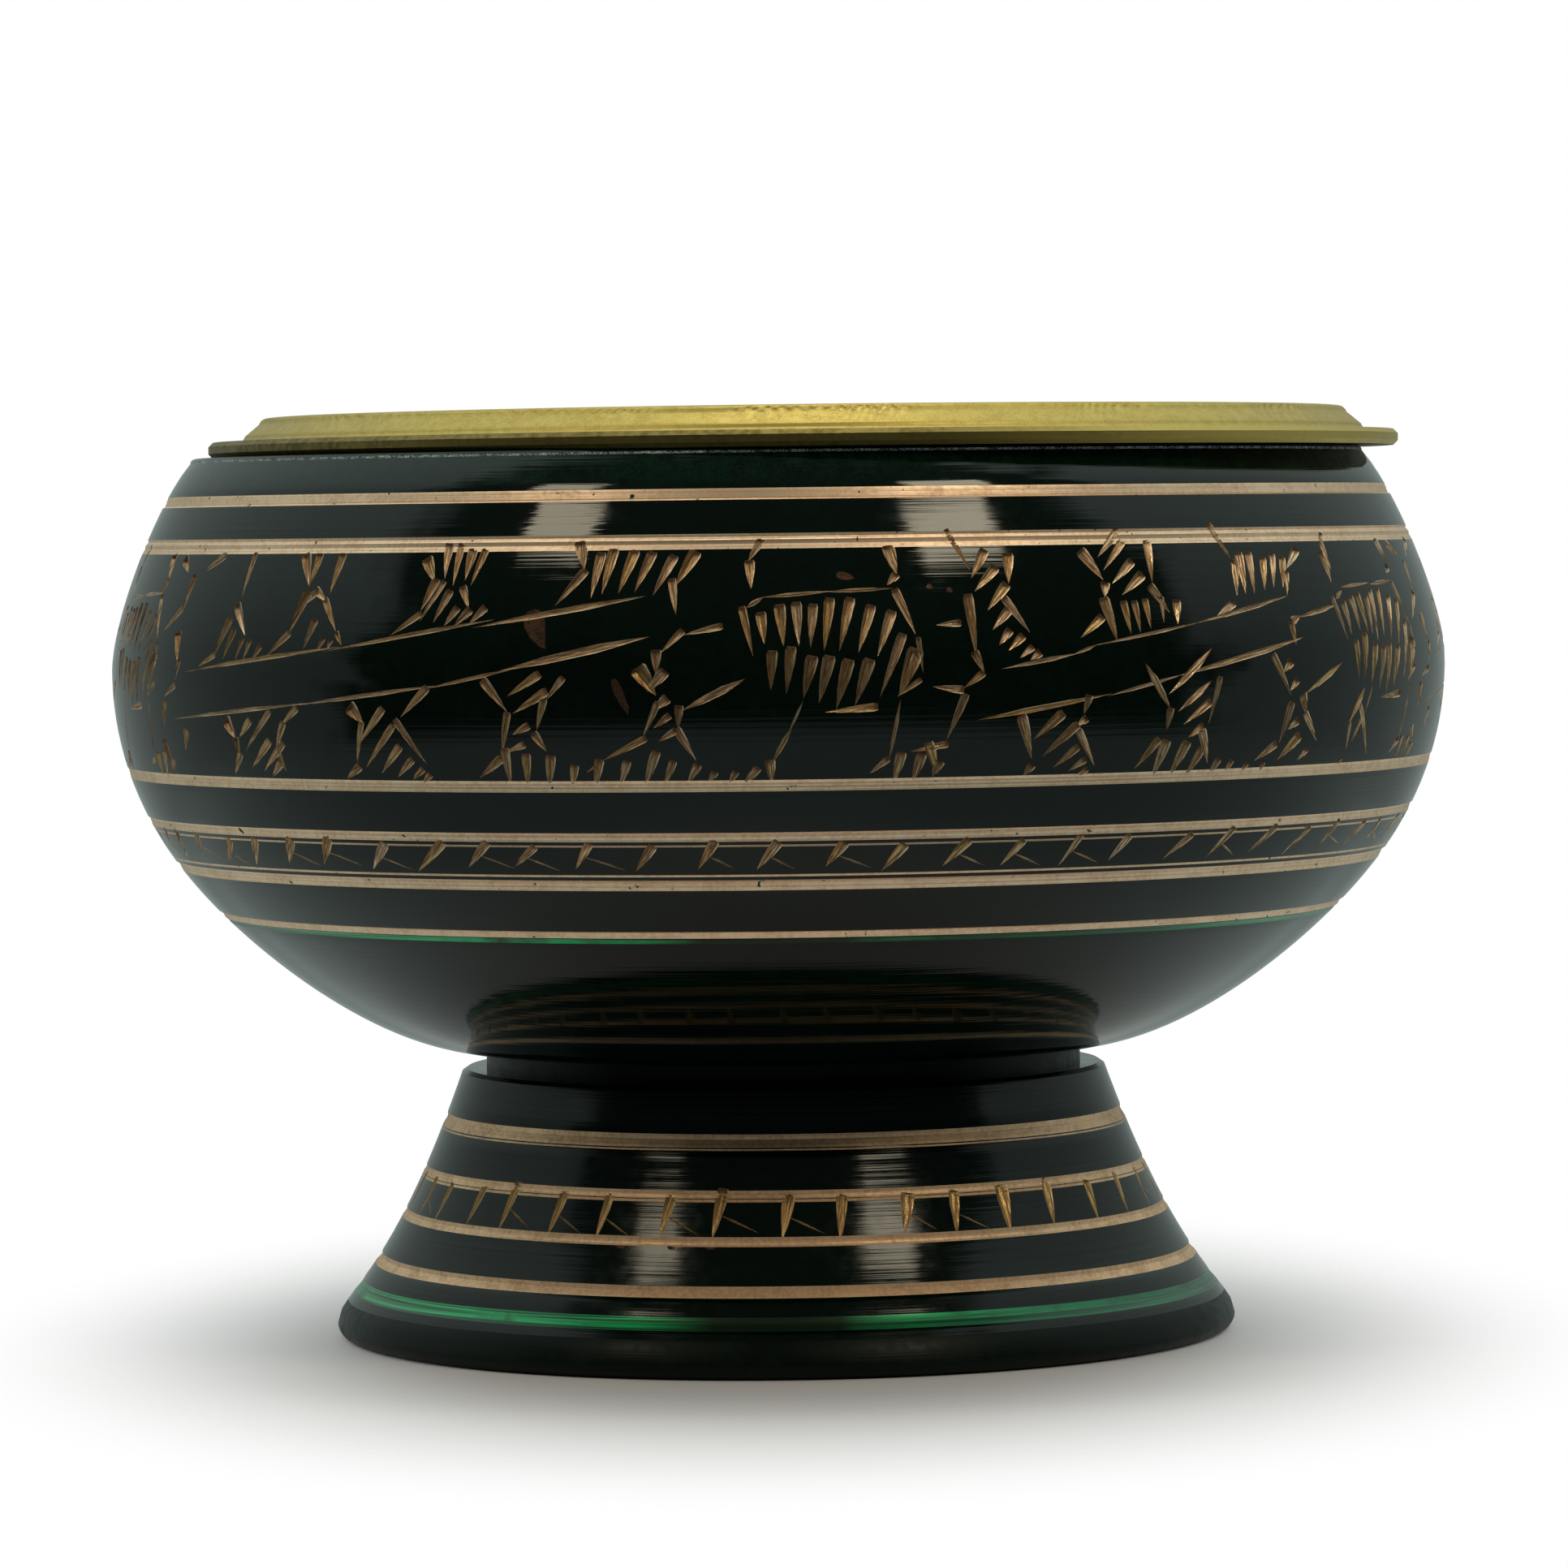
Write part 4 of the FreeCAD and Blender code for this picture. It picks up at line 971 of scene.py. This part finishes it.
bowl = Gather()
HOLE, SPIGOT, NECK = 2.0, 6.0, 17.0
HOLE_ROOF, SPIGOT_END = 18.3, 13.9
turned_stretch(bowl, [(0, HOLE_ROOF), (HOLE, HOLE_ROOF), (HOLE, SPIGOT_END), (SPIGOT, SPIGOT_END),
                      (SPIGOT, FOOT_TOP)], BARED)
turned_stretch(bowl, [(SPIGOT, FOOT_TOP), (NECK, FOOT_TOP), (NECK, BASE[1]), BASE], SCUFFED)
heights = [BASE[1], 26.6, 30.4, 31.9, 46.4, RIM[1]]
edges = [0, *outer_bowl.find(heights[1:5]), outer_bowl.length[-1]]
for k in (0, 2, 4):
    stretch, finish = wall_line(outer_bowl, edges[k], edges[k + 1],
                                lines_between(outer_bowl, BOWL_LINES, heights[k], heights[k + 1]), WALL)
    turned_stretch(bowl, stretch, finish)
for k, kinds in ((1, [(bowl_ticks, WEDGE, DEEP, MARKED), (bowl_hairs, LENS, SHALLOW, MARKED)]),
                 (3, [(frieze_marks, WEDGE, DEEP, MARKED), (frieze_stems, LENS, DEEP, MARKED),
                      (frieze_chips, CHIP, FLAT, CHIPPED)])):
    cuts = Cuts(outer_bowl, edges[k], edges[k + 1], BELLY, *kinds)
    engraved_band(bowl, outer_bowl, edges[k], edges[k + 1], cuts,
                  lines_between(outer_bowl, BOWL_LINES, heights[k], heights[k + 1]), BELLY, WALL)
rim = [RIM, (33.37, MOUTH_TOP - 0.17), (33.27, MOUTH_TOP - 0.05), (33.1, MOUTH_TOP), (31.9, MOUTH_TOP),
       (MOUTH_IN, RIM[1])]
turned_stretch(bowl, rim, [CRINKLED, WALL, WALL, WALL, WALL])
FLOOR = 19.5
inner_bowl = np.vstack([
    smooth_curve([(MOUTH_IN, RIM[1]), (33.4, 47.92), (INNER_BELLY, 41.18), (INNER_BELLY, 38.2)], 24),
    smooth_curve([(INNER_BELLY, 38.2), (INNER_BELLY, 26.9), (22.5, FLOOR), (13.0, FLOOR)], 40)[1:],
    [(0, FLOOR)]])
turned_stretch(bowl, inner_bowl, BARED)
bowl_piece = bowl.piece("bowl", BOWL_FINISHES)
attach(bowl_piece, "bowl")
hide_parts("bowl_shell")

# %% [markdown]
# ## The foot
# A flared foot turned from its own blank, with a flat deck that the bowl's spigot drops into. It carries
# ring lines, a row of ticks and, near the ground, a groove where the thin lacquer glows green. It is walked
# from the ground up its outside, over the deck and down its hollow inside, as a turner would cut it.

# %% Foot
FOOT_LINES = [(12.09, 12.81, TANNED, .10, 2, .66), (11.93, 12.02, TANNED, .02, 0, .66),
              (9.40, 9.84, TANNED, .07, 1, .66), (9.22, 9.36, TANNED, .03, 0, .66),
              (6.90, 7.41, TANNED, .08, 1, .66), (4.26, 4.87, TANNED, .12, 1, .70),
              (2.60, 3.30, FILMED, .05, 1, .66)]
foot = Gather()
DECK = 13.5
GROUND_EDGE = 24.9
DECK_HOLE = 6.1
turned_stretch(foot, smooth_curve([(GROUND_EDGE, 0), (25.3, 0), (25.7, 0.4), (FOOT_REACH, 0.8)], 8), SCUFFED)
heights = [0, 6.5, 10.6, FOOT_TOP]
edges = [0, *outer_foot.find(heights[1:3]), outer_foot.length[-1]]
HANDLED = 2.55  # below this height the lacquer is scuffed by handling
for k in (0, 2):
    stretch, finish = wall_line(outer_foot, edges[k], edges[k + 1],
                                lines_between(outer_foot, FOOT_LINES, heights[k], heights[k + 1]), DULLED)
    turned_stretch(foot, stretch, np.where(stretch[1:, 1] < HANDLED, SCUFFED, finish))
cuts = Cuts(outer_foot, edges[1], edges[2], FOOT_GAUGE, (foot_ticks, WEDGE, SHALLOW, BROWNED),
            (foot_hairs, LENS, SHALLOW, BROWNED), (foot_chips, CHIP, FLAT, CHIPPED))
engraved_band(foot, outer_foot, edges[1], edges[2], cuts,
              lines_between(outer_foot, FOOT_LINES, heights[1], heights[2]), FOOT_GAUGE, DULLED)
turned_stretch(foot, [(SHOULDER, FOOT_TOP - 0.2), (SHOULDER - 0.3, FOOT_TOP), (DECK_HOLE, FOOT_TOP)],
               DULLED)
under_foot = np.vstack([
    [(DECK_HOLE, FOOT_TOP), (DECK_HOLE, DECK), (15.8, DECK)],
    smooth_curve([(15.8, DECK), (20.0, 10.5), (23.3, 3.5), (23.3, 0)], 24)[1:],
    [(GROUND_EDGE, 0)]])
turned_stretch(foot, under_foot, BARED)
foot_piece = foot.piece("foot", BOWL_FINISHES)
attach(foot_piece, "bowl")
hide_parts("foot")

# %% [markdown]
# ## The screen
# A separate turned ring lies loose on the rim: a flange, a leaning collar above and a skirt that hangs in
# the mouth. It is bright yellow brass, never lacquered. The tool chattered on the collar, so its slope is
# faintly rippled. Modelling the ripple in the radius makes the highlight sparkle the way it does in metal.

# %% Screen ring
SKIRT, BORE, SEAT = 29.75, 27.25, 28.95
LEDGE = MOUTH_TOP - 0.35
FLANGE_TOP, COLLAR_TOP = MOUTH_TOP + 0.9, ring_high[2]


def chatter(angle, radius, height):
    """Scales that run slantwise round the collar in patches, two drifting waves: strong on the upper half
    of its slope, faint on the lower half, always inwards."""
    on_slope = np.clip((height - FLANGE_TOP - 0.36) / 0.15, 0, 1) * np.clip((COLLAR_TOP - height) / 0.2, 0, 1)
    upper = 0.25 + 0.75 * np.clip((height - FLANGE_TOP - 0.9) / 0.25, 0, 1)
    drift = 2.5 * np.sin(31 * angle) + 2.0 * np.sin(12 * angle + 1.7)
    waves = (np.sin(223 * angle + 11 * height + drift) + np.sin(307 * angle - 9 * height - 1.6 * drift)) / 2
    patchy = np.clip(0.45 + 0.5 * np.sin(13 * angle + 1.0) + 0.4 * np.sin(29 * angle + 4.0), 0.05, 1)
    return -0.045 * on_slope * upper * patchy * (1 + waves)


ring = Gather()
collar = np.vstack([
    smooth_curve([(FLANGE - 1.75, FLANGE_TOP), (31.975, FLANGE_TOP), (31.9, FLANGE_TOP + 0.175),
                  (31.8, FLANGE_TOP + 0.35)], 6),
    np.linspace((31.8, FLANGE_TOP + 0.35), (31.02, COLLAR_TOP - 0.35), 7)[1:],
    smooth_curve([(31.02, COLLAR_TOP - 0.35), (30.92, COLLAR_TOP - 0.12), (30.78, COLLAR_TOP),
                  (30.55, COLLAR_TOP)], 6)[1:]])
outside = np.vstack([
    [(BORE + 0.3, MOUTH_TOP - 3.0), (SKIRT - 0.3, MOUTH_TOP - 3.0), (SKIRT, MOUTH_TOP - 2.7),
     (SKIRT, MOUTH_TOP), (FLANGE - 0.25, MOUTH_TOP), (FLANGE, MOUTH_TOP + 0.25),
     (FLANGE, FLANGE_TOP - 0.25), (FLANGE - 0.25, FLANGE_TOP)],
    collar,
    [(SEAT + 0.25, COLLAR_TOP), (SEAT, COLLAR_TOP - 0.25), (SEAT, LEDGE), (BORE, LEDGE),
     (BORE, MOUTH_TOP - 2.7), (BORE + 0.3, MOUTH_TOP - 3.0)]])
# The skirt and the flange's underside are painted dark as shade; the flange's edge is painted dark as shade,
# with a painted highlight to the right. The rest is clean yellow.
edge_rows = np.array([2] * 4 + [1] * 3 + [0] * (len(outside) - 8))
turned_stretch(ring, outside, edge_rows, columns=1440, centre=RING_X, ripple=chatter)
ring_piece = ring.piece("screen_ring_turned", [YELLOW, FLANGE_EDGE_SHADE_AND_HIGHLIGHT, UNDERSIDE_SHADE])
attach(ring_piece, "screen")
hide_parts("screen_ring")

# %% [markdown]
# The mesh is held by a split ring sprung into the collar. It is one strip of brass bent round, so it could
# be a swept strip, but it is turned here like the rest and left open. Its two cut ends face each other
# across the gap, and each is closed with a flat cap.

# %% Retaining ring
retainer_low, retainer_high = box_mm("retaining_ring")
OUT, IN = SEAT - 0.02, SEAT - 1.52
LOW, HIGH = retainer_low[2], retainer_high[2]
GAP = 0.8
section = np.array([(IN, LOW), (OUT, LOW), (OUT, HIGH - 0.2), (OUT - 0.2, HIGH), (IN + 0.2, HIGH),
                    (IN, HIGH - 0.2), (IN, LOW)])
half_gap = np.arcsin(GAP / section[:, 0])
ends = (-math.pi / 2 + half_gap, 1.5 * math.pi - half_gap)
retainer = Gather()
turned_stretch(retainer, section, 0, columns=240, centre=RING_X, sharp=20, ends=ends)
for angle, side in ((ends[0], -1), (ends[1], 1)):
    cap = rolled(section[:-1, 0], section[:-1, 1], angle[:-1], RING_X)[::-side]
    facing = np.tile((0.0, float(-side), 0.0), (len(cap), 1))
    retainer.add(cap, np.arange(len(cap))[None], 0, 0.5, facing, section[:-1])
retainer_piece = retainer.piece("retaining_ring_sprung", [YELLOW])
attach(retainer_piece, "screen")
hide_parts("retaining_ring")

# %% [markdown]
# The screen is woven from crimped wire: each wire rises over one neighbour and dips under the next in equal
# arcs. A flat grid with a bump would look woven from afar only. One wire's middle line is a formula, so all
# 46 come from one function.

# %% Woven wires
PITCH, WIRE, WAVE = 2.4, 0.25, 0.27
MESH_EDGE = SEAT - 0.3
MESH_MIDDLE = LEDGE + 0.02 + WAVE + WIRE
BEND = ((PITCH / 2) ** 2 + WAVE ** 2) / (2 * WAVE)


def wire_height(x, sign):
    """Arcs of one radius, up and down in turn: z = side (w - R + sqrt(R^2 - (x - k p)^2))."""
    k = np.round(x / PITCH)
    side = sign * np.where(k % 2 == 0, 1, -1)
    return side * (WAVE - BEND + np.sqrt(BEND ** 2 - (x - k * PITCH) ** 2))


def wire(gather, offset, sign, crosswise, around=8, per_arc=6):
    """One tube along X, or along Y if crosswise, with flat ends."""
    reach = math.sqrt(MESH_EDGE ** 2 - (abs(offset) + WIRE) ** 2)
    crossings = math.floor(reach / PITCH + 0.5)
    if reach - (crossings - 0.5) * PITCH < 0.25 * PITCH:
        reach = (crossings - 0.5) * PITCH
    x = np.unique(np.round(np.r_[-reach, np.arange(-crossings * per_arc, crossings * per_arc + 1)
                                 * PITCH / per_arc, reach], 9))
    x = x[(x >= -reach) & (x <= reach)]
    z = wire_height(x, sign)
    slope = np.gradient(z, x)
    up = unit(np.stack([-slope, np.zeros_like(x), np.ones_like(x)], axis=1))
    turn = np.linspace(0, 2 * math.pi, around + 1)[:-1]
    out = (np.cos(turn)[:, None] * np.array([0, 1, 0]))[None] + np.sin(turn)[None, :, None] * up[:, None]
    points = np.stack([x, np.full_like(x, offset), z], axis=1)[:, None] + WIRE * out
    if crosswise:
        points, out = [np.stack([-v[..., 1], v[..., 0], v[..., 2]], axis=-1) for v in (points, out)]
    points = points + (RING_X, 0, MESH_MIDDLE)
    rows = len(x) - 1
    first = np.arange(rows)[:, None] * around + np.arange(around)
    next_ = np.arange(rows)[:, None] * around + (np.arange(around) + 1) % around
    faces = np.stack([first, next_, next_ + around, first + around], axis=-1).reshape(-1, 4)
    flat_points, flat_out = points.reshape(-1, 3), out.reshape(-1, 3)
    where = np.stack([np.repeat(x, around), np.tile(turn, len(x))], axis=1)
    gather.add(flat_points, faces, 0, 0.5, flat_out[faces], where[faces])
    for end, order in ((0, 1), (-1, -1)):
        cap = points[end][::-order]
        way = unit(points[0].mean(axis=0) - points[1].mean(axis=0)) * order
        gather.add(cap, np.arange(around)[None], 0, 0.5, np.tile(way, (around, 1)), where[:around])


for name, sign, crosswise in (("screen_warp_wires", 1, False), ("screen_weft_wires", -1, True)):
    wires = Gather()
    count = math.floor(math.sqrt((MESH_EDGE - WIRE) ** 2 - (2 * PITCH) ** 2) / PITCH)
    for k in range(-count, count + 1):
        wire(wires, k * PITCH, sign * (-1) ** k, crosswise)
    piece = wires.piece(name.replace("screen", "woven"), [WIRE_FINISH])
    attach(piece, "screen")
    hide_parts(name)

# %% [markdown]
# The screw and the washer sit under the foot, out of sight. The frame's own shapes are good enough there,
# so they stay as they are and only take a finish.

# %% Screw and washer
for name in ("foot_screw", "foot_washer"):
    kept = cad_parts[name].data.materials
    for place in range(len(kept)):
        kept[place] = PLAIN
    print(name, "takes", PLAIN.name)

# %% [markdown]
# ## Stage
# A pale floor lies under the foot and fades into a white room, so the bowl stands in its own soft shadow
# with no horizon behind it. A big opaque floor would be simpler, but its far edge would show.

# %% Floor
def smooth_ramp(tree, value, low, high, start, end):
    return spread(tree, value, low, high, start, end, interpolation_type="SMOOTHSTEP")


def stage_floor(reach=0.6):
    """A flat sheet under the foot, solid near it and fading to nothing, so the white room takes over."""
    mesh = bpy.data.meshes.new("floor")
    mesh.from_pydata([(-reach, -reach, 0), (reach, -reach, 0), (reach, reach, 0), (-reach, reach, 0)], [],
                     [(0, 1, 2, 3)])
    floor = bpy.data.objects.new("floor", mesh)
    bpy.context.scene.collection.objects.link(floor)
    material, tree, shader = new_material("pale floor", Base_Color=(0.92, 0.86, 0.90, 1), Roughness=0.6)
    oval = node(tree, "ShaderNodeMapping", {"Vector": own_place(tree), "Scale": (1.6, 1.0, 1.0)}).outputs[0]
    far = node(tree, "ShaderNodeVectorMath", {0: oval}, operation="LENGTH").outputs["Value"]
    tree.links.new(smooth_ramp(tree, far, 0.031, 0.078, 1.0, 0.0), shader.inputs["Alpha"])
    mesh.materials.append(material)
    return floor


print("stage:", stage_floor().name)

# %% [markdown]
# The room is bright behind the bowl, dim in front of it and darker below, with a torn, cloudy edge between,
# because polished lacquer shows mostly what stands round it. The dim front keeps the lacquer black. Seen
# directly it is plain white. It could be a modelled room, but a sky made of a few ramps does the same.

# %% Room
world = bpy.data.worlds.new("room")
bpy.context.scene.world = world
world.use_nodes = True
room = world.node_tree
room.nodes.clear()


def blend(tree, mask, low, high):
    """The first number where the mask is 0, the second where it is 1."""
    return node(tree, "ShaderNodeMix", {0: mask, 2: low, 3: high}, data_type="FLOAT").outputs[0]


seen_directly = node(room, "ShaderNodeLightPath").outputs["Is Camera Ray"]
way = node(room, "ShaderNodeTexCoord").outputs["Generated"]
_, back, up = parts_of(room, way)
torn = spread(room, noise(room, way, 5.0, 4.0), 0.3, 0.7, -0.13, 0.13)
past_the_front = smooth_ramp(room, maths(room, "ADD", back, torn), -0.26, -0.10, 0.11, 1.0)
rising = smooth_ramp(room, up, 0.1, 1.0, 0.36, 1.07)
walls = times(room, past_the_front, rising)
floor_level = smooth_ramp(room, back, -0.3, 0.7, 0.38, 0.50)
below = smooth_ramp(room, up, -0.36, -0.24, 1.0, 0.0)
level = blend(room, below, walls, floor_level)
shine = node(room, "ShaderNodeBackground", {
    "Color": blend_colour(room, seen_directly, (0.84, 1.0, 0.95), (1.0, 1.0, 1.0)),
    "Strength": blend(room, seen_directly, level, 1.0)})
node(room, "ShaderNodeOutputWorld", {"Surface": shine.outputs[0]})
print("room:", len(room.nodes), "nodes")

# %% [markdown]
# Two soft windows stand high at the left and the right, and each puts one soft patch of light on the
# lacquer of the bowl and one on the foot. A lamp overhead brightens the ring. Area lamps are used because
# their reflections have the square shape of a window; point lamps would leave dots.

# %% Windows
LAMP_DISTANCE = 1.2
LAMP_AIM = Vector((0, 0, 0.04))
# Each lamp: azimuth, elevation, width, height, power.
LAMPS = {"left window": (-47, 45, 0.215, 0.215, 1.3), "right window": (38, 45, 0.27, 0.227, 2.1),
         "ceiling lamp": (180, 87, 0.30, 0.16, 0.9)}


def window(name, azimuth, elevation, width, height, power):
    """A soft rectangular light that looks at the bowl. Azimuth 0 is the front, positive to the right."""
    lamp = bpy.data.lights.new(name, "AREA")
    lamp.shape = "RECTANGLE"
    lamp.size, lamp.size_y, lamp.energy = width, height, power
    lamp.color = (1.0, 0.89, 0.66)
    light = bpy.data.objects.new(name, lamp)
    a, e = math.radians(azimuth), math.radians(elevation)
    out = Vector((math.sin(a) * math.cos(e), -math.cos(a) * math.cos(e), math.sin(e)))
    light.location = out * LAMP_DISTANCE + LAMP_AIM
    light.rotation_euler = (-out).to_track_quat("-Z", "Y").to_euler()
    bpy.context.scene.collection.objects.link(light)


for name, setting in LAMPS.items():
    window(name, *setting)
    print(name, "at %d degrees round, %d up" % setting[:2])

# %% [markdown]
# A long lens looks slightly down from a little above the rim, which keeps the bowl's curves undistorted and
# shows the rim as a thin ellipse. The camera is rolled a little, as one held by hand is.

# %% Camera
PITCH_DOWN, ROLL = 2.07, 0.70
FOCAL_LENGTH, SENSOR = 164.68, 36
EYE = (0.00023, -0.4106, 0.04612)
camera_data = bpy.data.cameras.new("camera")
camera_data.sensor_width = SENSOR
camera_data.lens = FOCAL_LENGTH
camera = bpy.data.objects.new("camera", camera_data)
camera.matrix_world = (Matrix.Translation(EYE)
                       @ Matrix.Rotation(math.radians(90 - PITCH_DOWN), 4, "X")
                       @ Matrix.Rotation(math.radians(-ROLL), 4, "Z"))
bpy.context.scene.collection.objects.link(camera)
bpy.context.scene.camera = camera
bpy.context.scene.view_settings.view_transform = "Standard"
print("camera %.2f m away, %.0f mm lens" % (-EYE[1], FOCAL_LENGTH))
